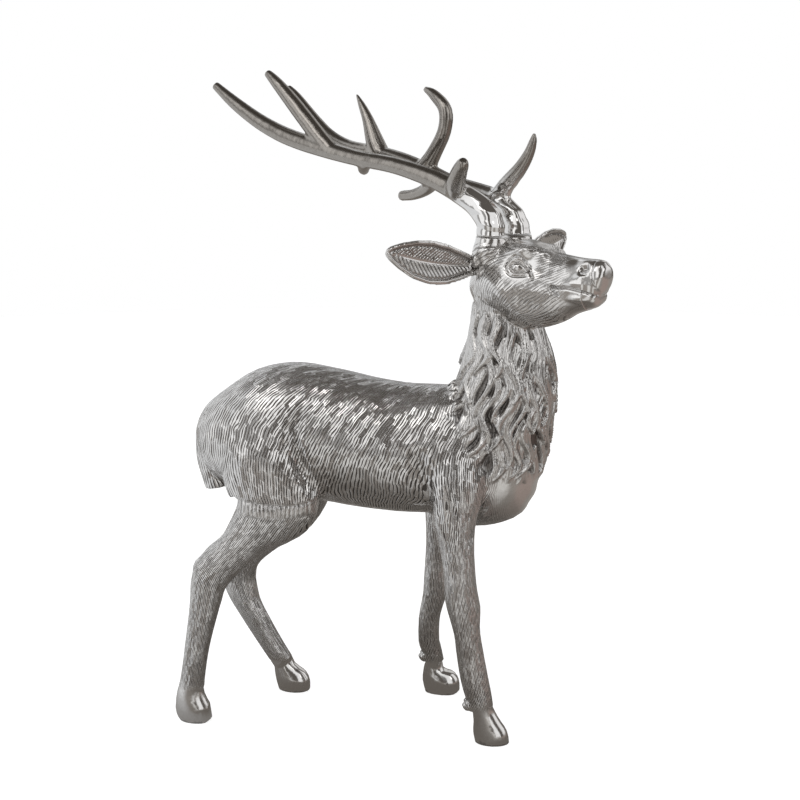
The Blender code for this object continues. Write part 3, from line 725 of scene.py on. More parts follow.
# The ribs below and above the middle: rise, pitch and slant, the run they are counted over, and the share of
# their rise that the far ear has
RIB_RISE = (1.0, 0.75)
RIB_PITCH = (4.2, 3.2)
RIB_SLANT = (0.75, 0.9)
RIB_RUN = 96.0
FAR_RIBS = 0.3


def ear_frame(points, side):
    """Each point's share of the ear's length, its place across the leaf, and the leaf's half width there."""
    tip = FAR_EAR_TIP if side > 0 else NEAR_EAR_TIP
    root, tip = (head_place(place[0], side * place[1], place[2]) for place in (EAR_ROOT, tip))
    run = tip - root
    share = ((points - root) @ run) / (run @ run)
    droop = EAR_DROOP * np.sin(math.pi * np.clip(share, 0, 1))
    middle = root + share[:, None] * run - UPWARD * droop[:, None]
    upright = UPWARD - run * (UPWARD @ run) / (run @ run)
    upright /= np.linalg.norm(upright)
    across = (points - middle) @ upright
    table = np.array(EAR)
    wide = np.interp(share, table[:, 0], table[:, 1]) * EAR_SHRINK
    return share, across, wide, middle


def carve_ears(points, normals):
    """A rolled rim round each ear and feather-like ribs that leave its middle line, with painted shade between
    the ribs and in the trough.
    """
    mask = np.zeros(len(points))
    dark = np.zeros(len(points))
    for side in (-1, 1):
        share, across, wide, middle = ear_frame(points, side)
        out = (points - HEAD_AT) @ LEFTWARD * side
        leaf = ramp(share, 0.05, 0.14) * ramp(share, 1.03, 0.97) * (np.abs(across) < wide + 4) * (out > 24)
        leaf = leaf * (np.linalg.norm(points - middle, axis=1) < wide + 9)
        front = ramp(normals @ FORWARD, 0.1, 0.4)
        inward = wide - np.abs(across)
        rim = np.exp(-((inward - RIM_INSET) / RIM_WIDTH) ** 2)
        trough = np.exp(-((inward - TROUGH_INSET) / TROUGH_WIDTH) ** 2) * front
        below_and_above = (RIB_RISE, RIB_PITCH, RIB_SLANT)
        rise, pitch, slant = (np.where(across > 0, upper, lower) for lower, upper in below_and_above)
        rib = 0.5 + 0.5 * np.cos(2 * math.pi * (share * RIB_RUN + np.abs(across) * slant) / pitch)
        inner = ramp(inward, 3.5, 6.0) * ramp(np.abs(across), 0.4, 2.0) * front
        strength = rise * (1.0 if side < 0 else FAR_RIBS)
        midline = np.exp(-(across / MIDLINE_WIDTH) ** 2) * ramp(share, 0.95, 0.7) * front
        relief = RIM_RISE * rim - TROUGH_DEPTH * trough
        relief += strength * (rib - 0.5) * inner - MIDLINE_DEPTH * midline
        points = points + normals * (relief * leaf)[:, None]
        # painted shade between the ribs and in the trough inside the rim
        dark = np.maximum(dark, leaf * np.maximum((1 - rib) * inner * strength, 0.7 * trough))
        mask = np.maximum(mask, leaf)
    return points, mask, dark


def carve_hooves(points, normals):
    """A cleft down each hoof, turned out to its own front quarter, its coronet, and a flat sole."""
    for x, y, outline in HOOVES:
        splay = outline[-1][0]
        for width, depth, path in CLEFTS.values():
            spots = [(x + forward + share * splay, y + out, up) for forward, share, out, up in path]
            points = score(points, normals, spots, width, depth)
        around = np.linspace(0, 2 * math.pi, 9)
        reach = CORONET_RADIUS
        coronet = [(x + reach * math.cos(a), y + reach * math.sin(a), CORONET) for a in around]
        points = score(points, normals, coronet, CORONET_WIDTH, CORONET_DEPTH)
    points[:, 2] = np.maximum(points[:, 2], 0.0)
    return points


def seat_plane(points, side):
    """Height of the seat under each point: it falls away towards the front of the antler."""
    local = in_head(points)
    ahead = local[:, 0] - (PEDICLE_FORWARD - ANTLER_BASE_RADIUS / UNIT)
    rise = SEAT_HEIGHT - SEAT_CLEARANCE / UNIT - np.maximum(ahead, 0) * math.tan(SEAT_LEAN)
    near = np.hypot(local[:, 0] - PEDICLE_FORWARD, local[:, 1] - side * PEDICLE_OUT) < SEAT_RADIUS
    return np.where(near, rise, np.inf)


def body_lofts(bm):
    for member in (TORSO, NECK, TAIL) + LEGS:
        loft(bm, curve_through(member), (0, 1, 0))
    for x, y, outline in HOOVES:
        rows = [(x + shift, y, height, half, wide) for shift, height, half, wide in outline]
        loft(bm, curve_through(rows), (0, 1, 0))
    for x, y, z in DEWCLAWS:
        for side in (-5, 5):
            turn = Matrix.Translation((x, y + side, z)) @ Matrix.Rotation(0.7, 4, "Y")
            bmesh.ops.create_uvsphere(bm, u_segments=12, v_segments=8, radius=1.0,
                                      matrix=turn @ Matrix.Diagonal((6, 4.5, 4, 1)))
    head = [(*head_place(forward, 0, up), half, wide) for forward, up, half, wide in SKULL]
    loft(bm, curve_through(head), LEFTWARD)
    for side in (-1, 1):
        seat = SEAT_HEIGHT - HEAD_AT[2]
        stump = [(*head_place(PEDICLE_FORWARD, side * PEDICLE_OUT, up), wide, wide)
                 for up, wide in ((2, 15), (0.53 * seat, 14), (0.83 * seat, 13.2), (seat + 2.5, 12.8))]
        loft(bm, curve_through(stump), LEFTWARD)
        tip = FAR_EAR_TIP if side > 0 else NEAR_EAR_TIP
        root, tip = (head_place(place[0], side * place[1], place[2]) for place in (EAR_ROOT, tip))
        rows = []
        for share, wide, fold, thick in EAR:
            centre = root + (tip - root) * share - UPWARD * EAR_DROOP * math.sin(math.pi * share)
            rows.append((*centre, thick * EAR_WALL / UNIT / 2, wide, -side * fold))
        loft(bm, curve_through(rows), UPWARD)


# The trunk's middle height and half height, and the slope of its fur in degrees from its belly to its back
TRUNK_MIDDLE = 264.0
TRUNK_HALF = 66.0
TRUNK_SLOPES = ((-1.0, 92), (-0.35, 80), (0.3, 56), (0.75, 32), (1.0, 10))
# The slope of the fur on the face, by height from its chin to its brow
FACE_SLOPES = ((-45, 62), (-10, 38), (15, 8), (30, -8))
# Where the fur runs out: the smooth breast and the patch round each eye, by middle and reach
BREAST = (np.array([162.0, -24.0, 230.0]), np.array([30.0, 44.0, 36.0]))
EYE_PATCH = (np.array([48.0, 2.0]), np.array([17.0, 14.0]))
MANE_FUR = 0.2
FACE_FUR = 0.6
# How far the fur's cuts are left out on the seam round each thigh
SEAM_BARE = 0.85


def trunk_height(points):
    """Height on the trunk, from -1 at the belly to 1 at the back."""
    return (points[:, 2] - TRUNK_MIDDLE) / TRUNK_HALF


def leg_lay(points, leg):
    """The run of a leg's bones at each point's height, and how much that leg claims the point."""
    rows = curve_through(leg, 3)[::-1]
    tangents = np.gradient(rows[:, :3], axis=0)
    run = np.stack([np.interp(points[:, 2], rows[:, 2], tangents[:, i]) for i in range(3)], axis=1)
    x = np.interp(points[:, 2], rows[:, 2], rows[:, 0])
    y = np.interp(points[:, 2], rows[:, 2], rows[:, 1])
    deep = np.interp(points[:, 2], rows[:, 2], rows[:, 3])
    off = np.hypot((points[:, 0] - x) / (deep + 10), (points[:, 1] - y) / 30.0)
    claim = ramp(off, 1.3, 0.8) * ramp(points[:, 2], 236, 198)
    return -unit_rows(run), claim


def fur_lay(points, normals, sway):
    """The way the fur lies at each point, along the skin."""
    side = np.sign(points[:, 1])
    height = trunk_height(points)
    slope = np.radians(np.interp(height, *zip(*TRUNK_SLOPES)))
    slope += np.radians(22) * ramp(points[:, 0], -95, -135)
    slope += np.radians(20) * ramp(points[:, 0], 62, 104) * ramp(height, 1.0, 0.4)
    slope = np.minimum(slope, math.radians(96))
    lay = np.stack([-np.cos(slope), 0.15 * side, -np.sin(slope)], axis=1)
    for leg in LEGS:
        run, claim = leg_lay(points, leg)
        lay = lay * (1 - claim)[:, None] + run * claim[:, None]
    angle, girth, reach = round_neck(points)
    round_way = np.stack([-np.sin(angle), np.cos(angle), np.zeros(len(points))], axis=1)
    on_neck = ramp(reach, girth + 22, girth + 10) * ramp(points[:, 2], 262, 300)
    hanging = round_way * sway[:, None] - UPWARD
    lay = lay * (1 - on_neck)[:, None] + hanging * on_neck[:, None]
    local = in_head(points)
    on_face = ramp(points[:, 2], 386, 398) * ramp(np.abs(local[:, 1]), 46, 36)
    fall = np.radians(np.interp(local[:, 2], *zip(*FACE_SLOPES)))
    sweep = -np.cos(fall)[:, None] * FORWARD - np.sin(fall)[:, None] * UPWARD
    lay = lay * (1 - on_face)[:, None] + sweep * on_face[:, None]
    lay -= normals * (lay * normals).sum(axis=1)[:, None]
    return unit_rows(lay)


def fur_amount(points, mane, ears):
    """How deeply the fur is cut: all over the trunk, faint on the face, none on hooves, nose and breast."""
    amount = np.ones(len(points))
    amount *= ramp(points[:, 2], 31, 37)
    middle, reach = BREAST
    amount *= ramp(np.linalg.norm((points - middle) / reach, axis=1), 0.7, 1.15)
    amount = amount * (1 - mane) + MANE_FUR * mane
    local = in_head(points)
    face = ramp(points[:, 2], 380, 394)
    plain = ramp(local[:, 0], 96, 80)
    middle, reach = EYE_PATCH
    off_eye = np.linalg.norm((local[:, [0, 2]] - middle) / reach, axis=1)
    amount = amount * (1 - face) + FACE_FUR * face * plain * ramp(off_eye, 0.7, 1.2)
    seat = ramp(points[:, 2], SEAT_HEIGHT - 4, SEAT_HEIGHT - 9)
    return amount * (1 - ears) * np.where(points[:, 2] > 440, seat, 1.0)


# How the strokes are spaced and how long they are, by member, in shares: pitch and length
TRUNK_STROKES = (2.15, 11.0)
BACK_STROKES = (1.7, 7.0)
BELLY_STROKES = (1.8, 10.0)
LEG_STROKES = (1.5, 9.0)
MANE_STROKES = (1.9, 26.0)
HEAD_STROKES = (2.2, 11.0)
TAIL_STROKES = (2.6, 13.0)
# Round the near shoulder they are finer: its middle, its reach, and by what share
SHOULDER_AT = np.array([112.0, -45.0, 205.0])
SHOULDER_REACH = np.array([34.0, 60.0, 75.0])
SHOULDER_FINER = 0.4
# How many rounds the comb is worked in, and how weakly it holds together where its two sides meet
COMB_ROUNDS = 700
SEAM_HOLD = 0.02
# How dark the painted shade in the grooves of the face is
GROOVE_SHADE = 0.45


def stroke_sizes(points, sway_weight):
    """Pitch and length of the strokes at each point, and on which side of its member the point lies."""
    sizes = np.tile(TRUNK_STROKES, (len(points), 1))
    height = trunk_height(points)

    def blend(values, share):
        return sizes * (1 - share)[:, None] + np.array(values) * share[:, None]

    sizes = blend(BACK_STROKES, ramp(height, 0.62, 0.95))
    sizes = blend(BELLY_STROKES, ramp(height, -0.4, -0.8))
    sizes = blend(TAIL_STROKES, ramp(points[:, 0], -112, -122) * ramp(points[:, 2], 205, 215))
    side = np.sign(points[:, 1] + 1e-6)
    for leg in LEGS:
        rows = curve_through(leg, 3)[::-1]
        _, claim = leg_lay(points, leg)
        sizes = blend(LEG_STROKES, claim)
        middle = np.interp(points[:, 2], rows[:, 2], rows[:, 1])
        side = np.where(claim > 0.5, np.sign(points[:, 1] - middle + 1e-6), side)
    off_shoulder = np.linalg.norm((points - SHOULDER_AT) / SHOULDER_REACH, axis=1)
    sizes[:, 0] *= 1.0 - SHOULDER_FINER * ramp(off_shoulder, 1.2, 0.5)
    sizes = blend(MANE_STROKES, sway_weight)
    local = in_head(points)
    on_face = ramp(points[:, 2], 388, 396)
    sizes = blend(HEAD_STROKES, on_face)
    side = np.where(on_face > 0.5, np.sign(local[:, 1] + 1e-6), side)
    return sizes, side


def fitted(count, ends, gaps, weights, rounds):
    """The field whose steps along the edges come nearest to the gaps, found by conjugate gradients."""
    first, second = ends

    def gathered(flow):
        return np.bincount(second, flow, count) - np.bincount(first, flow, count)

    total = np.bincount(first, weights, count) + np.bincount(second, weights, count)
    field = np.zeros(count)
    rest = gathered(weights * gaps)
    scaled = rest / total
    way = scaled.copy()
    size = rest @ scaled
    for _ in range(rounds):
        pulled = gathered(weights * (way[second] - way[first]))
        step = size / (way @ pulled)
        field += step * way
        rest -= step * pulled
        scaled = rest / total
        new_size = rest @ scaled
        way = scaled + (new_size / size) * way
        size = new_size
    return field


def comb(mesh):
    """Two fields over the skin that run across and along the lay of the fur, counted in strokes."""
    points, normals = points_of(mesh), normals_of(mesh)
    lay = kept(mesh, "fur_lay", 3)
    lay -= normals * (lay * normals).sum(axis=1)[:, None]
    lay = unit_rows(lay)
    sizes, side = stroke_sizes(points, kept(mesh, "mane", 1))
    ends = np.empty(len(mesh.edges) * 2, np.int32)
    mesh.edges.foreach_get("vertices", ends)
    first, second = ends.reshape(-1, 2).T
    beside = np.cross(normals, lay) * side[:, None]
    run = points[second] - points[first]
    length = np.linalg.norm(run, axis=1)
    pitch = (sizes[first, 0] + sizes[second, 0]) / 2
    across = ((beside[first] + beside[second]) / 2 * run).sum(axis=1) / pitch
    along = ((lay[first] + lay[second]) / 2 * run).sum(axis=1) * 2 / (sizes[first, 1] + sizes[second, 1])
    weights = np.where(side[first] == side[second], 1.0, SEAM_HOLD) / np.maximum(length, 0.2)
    count = len(points)
    spread = [fitted(count, (first, second), gaps, weights, COMB_ROUNDS) for gaps in (across, along)]
    keep_attribute(mesh, "comb", np.stack([spread[0], spread[1], side], axis=1))


def keep_attribute(mesh, name, values):
    kind = "FLOAT_VECTOR" if values.ndim == 2 else "FLOAT"
    field = "vector" if values.ndim == 2 else "value"
    mesh.attributes.new(name, kind, "POINT").data.foreach_set(field, values.astype(np.float32).reshape(-1))


def kept(mesh, name, width):
    values = np.empty(len(mesh.vertices) * width, np.float32)
    mesh.attributes[name].data.foreach_get("vector" if width == 3 else "value", values)
    return values.astype(float).reshape(-1, width) if width > 1 else values.astype(float)


def on_head(points, back, foot):
    """Which points lie on the head: in front of a place behind the ears, and above a height."""
    return (in_head(points)[:, 0] > back) & (points[:, 2] > foot)


def build_body():
    """The stag as one skin, with its carving, and the fields that its metal reads."""
    bm = bmesh.new()
    body_lofts(bm)
    mesh = fused(bm, "stag", BODY_GRAIN, 10)
    finer(mesh, on_head(points_of(mesh), -22, 392))
    points, normals = points_of(mesh), normals_of(mesh)
    points = carve_muscles(points, normals)
    normals = refreshed(mesh, points)
    points, seam_shade, band = carve_seams(points, normals)
    # painted shade in the seam's cuts and the trunk's creases
    dark = np.maximum(seam_shade, crease_shade(points))
    points, mane, sway, gaps = mane_locks(points, normals)
    # painted shade between the mane's locks
    dark = np.maximum(dark * (1 - mane), gaps)
    points, ears, ribs = carve_ears(points, refreshed(mesh, points))
    face = on_head(points, -18, 375) & (ears < 0.5) & (np.abs(in_head(points)[:, 1]) < 40)
    points = lean_nose(points)
    normals = refreshed(mesh, points)
    points[face], grooves = carve_face(points[face], normals[face])
    # painted shade in the grooves of the face
    dark[face] = np.maximum(dark[face], GROOVE_SHADE * grooves)
    # painted shade between the ear's ribs and in its trough
    dark = np.maximum(dark, ribs)
    points = carve_hooves(points, refreshed(mesh, points))
    for side in (-1, 1):
        points[:, 2] = np.minimum(points[:, 2], seat_plane(points, side))
    normals = refreshed(mesh, points)
    keep_attribute(mesh, "fur_lay", fur_lay(points, normals, sway))
    keep_attribute(mesh, "fur", fur_amount(points, mane, ears) * (1 - SEAM_BARE * band))
    keep_attribute(mesh, "mane", mane)
    # painted shade for the coat's colour: creases, seam cuts, gaps between locks, face grooves and ear hollows
    keep_attribute(mesh, "shade", dark)
    head = on_head(points, -20, 392)
    coarser = np.where(head, HEAD_COARSER, np.where(mane > 0.3, MANE_COARSER, COAT_COARSER))
    mesh = thinned(mesh, "stag", BODY_TRIANGLES, coarser)
    comb(mesh)
    return mesh


# How far round its seat an antler's flutes reach, where they are full, and their rise
FLUTE_SPAN = (60.0, 20.0)
FLUTE_RISE = 0.35
# How far round its seat an antler is polished, and where that is full
POLISH_SPAN = (62.0, 34.0)


def build_antler(name, side, sweep, beam, tines):
    """An antler: a beam and its tines as round tapering tubes, flat where it stands on its seat."""
    bm = bmesh.new()
    base = HEAD_AT + PEDICLE_FORWARD * FORWARD + side * PEDICLE_OUT * LEFTWARD
    back = -math.cos(sweep) * FORWARD + side * math.sin(sweep) * LEFTWARD
    out = np.array([-back[1], back[0], 0.0])
    out = out * np.sign(out @ (side * LEFTWARD))
    thick = ANTLER_BASE_RADIUS / UNIT
    below = ((0, -8, 0, 1.0),)
    for rows in (below + beam,) + tines:
        placed = [(*(base[:2] + back[:2] * b + out[:2] * o), SEAT_HEIGHT + h, r * thick, r * thick)
                  for b, h, o, r in rows]
        loft(bm, curve_through(placed), out, 24)
    mesh = fused(bm, name, ANTLER_GRAIN, 24)
    points, normals = points_of(mesh), normals_of(mesh)
    local = points - np.array([base[0], base[1], SEAT_HEIGHT])
    along, up, over = local @ back, local[:, 2], local @ out
    flute = np.sin(0.75 * over + 0.10 * along) + np.sin(0.62 * (up - 0.25 * along) + 1.0)
    away = np.linalg.norm(local, axis=1)
    points = points + normals * (FLUTE_RISE * flute * ramp(away, *FLUTE_SPAN))[:, None]
    points[:, 2] = np.maximum(points[:, 2], SEAT_HEIGHT)
    place_points(mesh, points)
    keep_attribute(mesh, "near_seat", ramp(away, *POLISH_SPAN))
    return mesh


def new_group(name, inputs, outputs):
    """A shader node group with named sockets, and its tree, input node and output node."""
    tree = bpy.data.node_groups.new(name, "ShaderNodeTree")
    for socket, kind in inputs:
        tree.interface.new_socket(socket, in_out="INPUT", socket_type=kind)
    for socket, kind in outputs:
        tree.interface.new_socket(socket, in_out="OUTPUT", socket_type=kind)
    return tree, tree.nodes.new("NodeGroupInput"), tree.nodes.new("NodeGroupOutput")


def feed(tree, socket, value):
    """Links another node's output into a socket, or sets a plain value on it."""
    if isinstance(value, bpy.types.NodeSocket):
        tree.links.new(value, socket)
    elif value is not None:
        socket.default_value = value


def math_node(tree, operation, first, second=None):
    node = tree.nodes.new("ShaderNodeMath")
    node.operation = operation
    feed(tree, node.inputs[0], first)
    feed(tree, node.inputs[1], second)
    return node.outputs[0]


def times(tree, first, second):
    return math_node(tree, "MULTIPLY", first, second)


def plus(tree, first, second):
    return math_node(tree, "ADD", first, second)


def vector_node(tree, operation, first, second=None):
    node = tree.nodes.new("ShaderNodeVectorMath")
    node.operation = operation
    feed(tree, node.inputs[0], first)
    feed(tree, node.inputs[1], second)
    return node.outputs["Value" if operation in ("DOT_PRODUCT", "LENGTH") else "Vector"]


def soft_step(tree, value, low, high):
    node = tree.nodes.new("ShaderNodeMapRange")
    node.interpolation_type = "SMOOTHSTEP"
    tree.links.new(value, node.inputs["Value"])
    node.inputs["From Min"].default_value = low
    node.inputs["From Max"].default_value = high
    return node.outputs["Result"]


def mixed_number(tree, share, first, second):
    node = tree.nodes.new("ShaderNodeMix")
    node.data_type = "FLOAT"
    for index, value in ((0, share), (2, first), (3, second)):
        feed(tree, node.inputs[index], value)
    return node.outputs[0]


def mixed_colour(tree, share, first, second):
    node = tree.nodes.new("ShaderNodeMix")
    node.data_type = "RGBA"
    for index, value in ((0, share), (6, first), (7, second)):
        feed(tree, node.inputs[index], value)
    return node.outputs[2]


def parts_of(tree, kind, value):
    """The node that takes a vector or a colour apart."""
    node = tree.nodes.new(kind)
    tree.links.new(value, node.inputs[0])
    return node.outputs


def noise_field(tree, scale, detail):
    node = tree.nodes.new("ShaderNodeTexNoise")
    tree.links.new(tree.nodes.new("ShaderNodeTexCoord").outputs["Object"], node.inputs["Vector"])
    feed(tree, node.inputs["Scale"], scale)
    node.inputs["Detail"].default_value = detail
    return node.outputs["Fac"]


# The strokes of the fur: size of their drift, how far neighbours start apart, the least width of a cut and
# how much its width differs, where its wall begins and ends, its ridge's height, and its lean towards its
# end. Then the scale of the fine cloud in the metal
DRIFT_SCALE = 80.0
STROKE_STAGGER = 7.0
CUT_LEAST = 0.06
CUT_WIDTHS = (0.6, 0.7)
CUT_WALL = (0.5, 1.35)
RIDGE_LEVEL = 0.62
RIDGE_LEAN = 0.5
CLOUD_SCALE = 420.0


def make_stroke_group():
    """Engraved strokes in rows along the lay of the fur: each cut is narrow and runs out at both ends."""
    number = "NodeSocketFloat"
    tree, given, out = new_group(
        "engraved_strokes",
        (("Comb", "NodeSocketVector"), ("Wobble", number), ("Fill", number), ("Tilt", number)),
        (("Height", number), ("Ridge", number)),
    )
    field = parts_of(tree, "ShaderNodeSeparateXYZ", given.outputs["Comb"])
    drift = noise_field(tree, DRIFT_SCALE, 1.0)
    sway = times(tree, math_node(tree, "SUBTRACT", drift, 0.5), given.outputs["Wobble"])
    across = plus(tree, field["X"], sway)
    column = math_node(tree, "FLOOR", across)
    off = math_node(tree, "SUBTRACT", times(tree, math_node(tree, "FRACT", across), 2.0), 1.0)
    column_chance = tree.nodes.new("ShaderNodeTexWhiteNoise")
    column_chance.noise_dimensions = "1D"
    tree.links.new(column, column_chance.inputs["W"])
    along = plus(tree, field["Y"], times(tree, column_chance.outputs["Value"], STROKE_STAGGER))
    share = math_node(tree, "FRACT", along)
    spot = tree.nodes.new("ShaderNodeCombineXYZ")
    tree.links.new(column, spot.inputs["X"])
    tree.links.new(math_node(tree, "FLOOR", along), spot.inputs["Y"])
    chance = tree.nodes.new("ShaderNodeTexWhiteNoise")
    chance.noise_dimensions = "2D"
    tree.links.new(spot.outputs["Vector"], chance.inputs["Vector"])
    own = parts_of(tree, "ShaderNodeSeparateColor", chance.outputs["Color"])
    arch = math_node(tree, "SQRT", math_node(tree, "SINE", times(tree, share, math.pi)))
    least, spread = CUT_WIDTHS
    fill = times(tree, given.outputs["Fill"], plus(tree, least, times(tree, own["Red"], spread)))
    width = plus(tree, CUT_LEAST, times(tree, arch, fill))
    ridge = soft_step(tree, math_node(tree, "DIVIDE", math_node(tree, "ABSOLUTE", off), width), *CUT_WALL)
    tilt = times(tree, off, math_node(tree, "SUBTRACT", own["Green"], 0.5))
    slope = times(tree, share, math_node(tree, "SUBTRACT", own["Blue"], 0.3))
    leaning = plus(tree, times(tree, tilt, given.outputs["Tilt"]), times(tree, slope, RIDGE_LEAN))
    tree.links.new(times(tree, ridge, plus(tree, RIDGE_LEVEL, leaning)), out.inputs["Height"])
    tree.links.new(ridge, out.inputs["Ridge"])
    return tree


def make_cast_group():
    """The slight unevenness that polishing leaves on a casting: slow waves and fine brush marks."""
    number = "NodeSocketFloat"
    results = (("Waves", number), ("Cloud", number))
    tree, given, out = new_group("cast_unevenness", (("Scale", number),), results)
    tree.links.new(noise_field(tree, given.outputs["Scale"], 2.0), out.inputs["Waves"])
    tree.links.new(noise_field(tree, CLOUD_SCALE, 3.0), out.inputs["Cloud"])
    return tree


def metal(name):
    """A material with a metallic shader, its tree and the shader."""
    material = bpy.data.materials.new(name)
    material.use_nodes = True
    shader = material.node_tree.nodes["Principled BSDF"]
    shader.inputs["Metallic"].default_value = 1.0
    return material, material.node_tree, shader


def placed_group(tree, group, **values):
    node = tree.nodes.new("ShaderNodeGroup")
    node.node_tree = group
    for socket, value in values.items():
        node.inputs[socket].default_value = value
    return node


def bumped(tree, height, distance, strength, under=None):
    node = tree.nodes.new("ShaderNodeBump")
    tree.links.new(height, node.inputs["Height"])
    node.inputs["Distance"].default_value = distance
    feed(tree, node.inputs["Strength"], strength)
    if under is not None:
        tree.links.new(under, node.inputs["Normal"])
    return node.outputs["Normal"]


def attribute_of(tree, name, output):
    node = tree.nodes.new("ShaderNodeAttribute")
    node.attribute_name = name
    return node.outputs[output]


# The engraved coat: its two tones, the tone of the painted shade in its cuts and hollows, the mane's tone and
# its share, and how far the painted shade darkens the cuts and the shaded hollows
COAT_TONES = ((0.62, 0.60, 0.58, 1), (0.72, 0.71, 0.70, 1))
SHADE_TONE = (0.075, 0.065, 0.058, 1)
MANE_TONE = (0.2, 0.185, 0.17, 1)
MANE_SHARE = 0.2
CUT_SHADE_SHARE = 0.95
SHADE_SHARE = 0.82
# Roughness on the ridges and in the cuts of the coat, and on the mane
COAT_ROUGHNESS = (0.13, 0.38)
MANE_ROUGHNESS = 0.08
# The antlers: their tones near the seat and further out, and their roughness further out and near the seat
POLISHED_TONES = ((0.64, 0.625, 0.61, 1), (0.72, 0.71, 0.70, 1))
WORN_TONES = ((0.24, 0.217, 0.195, 1), (0.36, 0.34, 0.315, 1))
ANTLER_ROUGHNESS = (0.21, 0.07)
# How deep the strokes and the waves of the casting are, in metres, and how strongly the waves show
STROKE_DEPTH = 0.0007
COAT_WAVES = (0.0006, 0.5)
ANTLER_WAVES = (0.0009, 0.7)


def make_engraved_metal(strokes, unevenness):
    """Satin metal, bright on the ridges of the fur, with painted shade in its cuts and shaded hollows."""
    material, tree, shader = metal("engraved_aluminium")
    fur, shade, mane = (attribute_of(tree, name, "Fac") for name in ("fur", "shade", "mane"))
    cut = placed_group(tree, strokes, Wobble=1.1, Fill=0.36, Tilt=0.8)
    tree.links.new(attribute_of(tree, "comb", "Vector"), cut.inputs["Comb"])
    cast = placed_group(tree, unevenness, Scale=90.0)
    depth = times(tree, math_node(tree, "SUBTRACT", 1.0, cut.outputs["Ridge"]), fur)
    tone = mixed_colour(tree, cast.outputs["Cloud"], *COAT_TONES)
    # painted shade in the cuts of the fur, the deeper the darker
    tone = mixed_colour(tree, times(tree, depth, CUT_SHADE_SHARE), tone, SHADE_TONE)
    tone = mixed_colour(tree, times(tree, mane, MANE_SHARE), tone, MANE_TONE)
    # painted shade from the shade attribute: creases, seam cuts, gaps between locks, face grooves and ear
    # hollows
    tone = mixed_colour(tree, times(tree, shade, SHADE_SHARE), tone, SHADE_TONE)
    tree.links.new(tone, shader.inputs["Base Color"])
    coat = mixed_number(tree, depth, *COAT_ROUGHNESS)
    tree.links.new(mixed_number(tree, mane, coat, MANE_ROUGHNESS), shader.inputs["Roughness"])
    wavy = bumped(tree, cast.outputs["Waves"], *COAT_WAVES)
    tree.links.new(bumped(tree, cut.outputs["Height"], STROKE_DEPTH, fur, wavy), shader.inputs["Normal"])
    return material


def make_bright_metal(unevenness):
    """Metal of the antlers: mirror-like near the seat, browner and more matt further out."""
    material, tree, shader = metal("bright_aluminium")
    cast = placed_group(tree, unevenness, Scale=70.0)
    near = attribute_of(tree, "near_seat", "Fac")
    polished = mixed_colour(tree, cast.outputs["Cloud"], *POLISHED_TONES)
    worn = mixed_colour(tree, cast.outputs["Cloud"], *WORN_TONES)
    tree.links.new(mixed_colour(tree, near, worn, polished), shader.inputs["Base Color"])
    tree.links.new(mixed_number(tree, near, *ANTLER_ROUGHNESS), shader.inputs["Roughness"])
    tree.links.new(bumped(tree, cast.outputs["Waves"], *ANTLER_WAVES), shader.inputs["Normal"])
    return material


def put_in_scene(name, mesh, material):
    """An object of that mesh, in that material alone."""
    mesh.materials.clear()
    mesh.materials.append(material)
    placed = bpy.data.objects.new(name, mesh)
    bpy.context.scene.collection.objects.link(placed)
    return placed


# The studio: a dome that lights the metal, painted by direction, paler below than above. Each light is a
# window on it: turn from the front towards the right and half width, lowest and highest, softness (all in
# degrees), colour and strength
DOME_RADIUS = 6.0
DOME_LOW = (0.19, 0.172, 0.155)
DOME_HIGH = (0.13, 0.119, 0.108)
DOME_SPAN = (0.12, -0.2)
COOL = (0.93, 0.965, 1.0)
PALE = (0.96, 0.98, 1.0)
PALER = (0.98, 0.99, 1.0)
FAINT = (0.97, 0.98, 1.0)
CLEAR = (1.0, 1.0, 1.0)
PINKISH = (1.0, 0.70, 0.62)
DOME_LIGHTS = (
    (-124, 50, -25, 50, 8, COOL, 0.90),
    (-36, 34, -12, 66, 4, PALE, 0.27),
    (-52, 12, -10, 52, 3, PALE, 0.90),
    (-9, 9, 6, 58, 3, PALER, 0.95),
    (44, 14, -8, 58, 4, PALE, 1.0),
    (104, 18, 2, 50, 7, FAINT, 0.95),
    (100, 16, -40, -8, 8, PINKISH, 0.30),
    (158, 16, 10, 55, 9, PALER, 0.7),
    (-30, 10, 36, 58, 3, CLEAR, 1.8),
    (8, 4, 50, 62, 3, CLEAR, 3.0),
    (60, 4, 20, 44, 2, CLEAR, 1.8),
)


def stage_material(name):
    """A material with an empty tree, and the socket of its surface."""
    material = bpy.data.materials.new(name)
    material.use_nodes = True
    tree = material.node_tree
    tree.nodes.clear()
    return material, tree, tree.nodes.new("ShaderNodeOutputMaterial").inputs["Surface"]


def towards_share(tree, way, turn, half, soft):
    """One where a level direction lies within so many degrees of a turn from the front, zero elsewhere."""
    towards = (math.sin(math.radians(turn)), -math.cos(math.radians(turn)), 0.0)
    aside = vector_node(tree, "DOT_PRODUCT", way, towards)
    return soft_step(tree, aside, math.cos(math.radians(half + soft)), math.cos(math.radians(half - soft)))


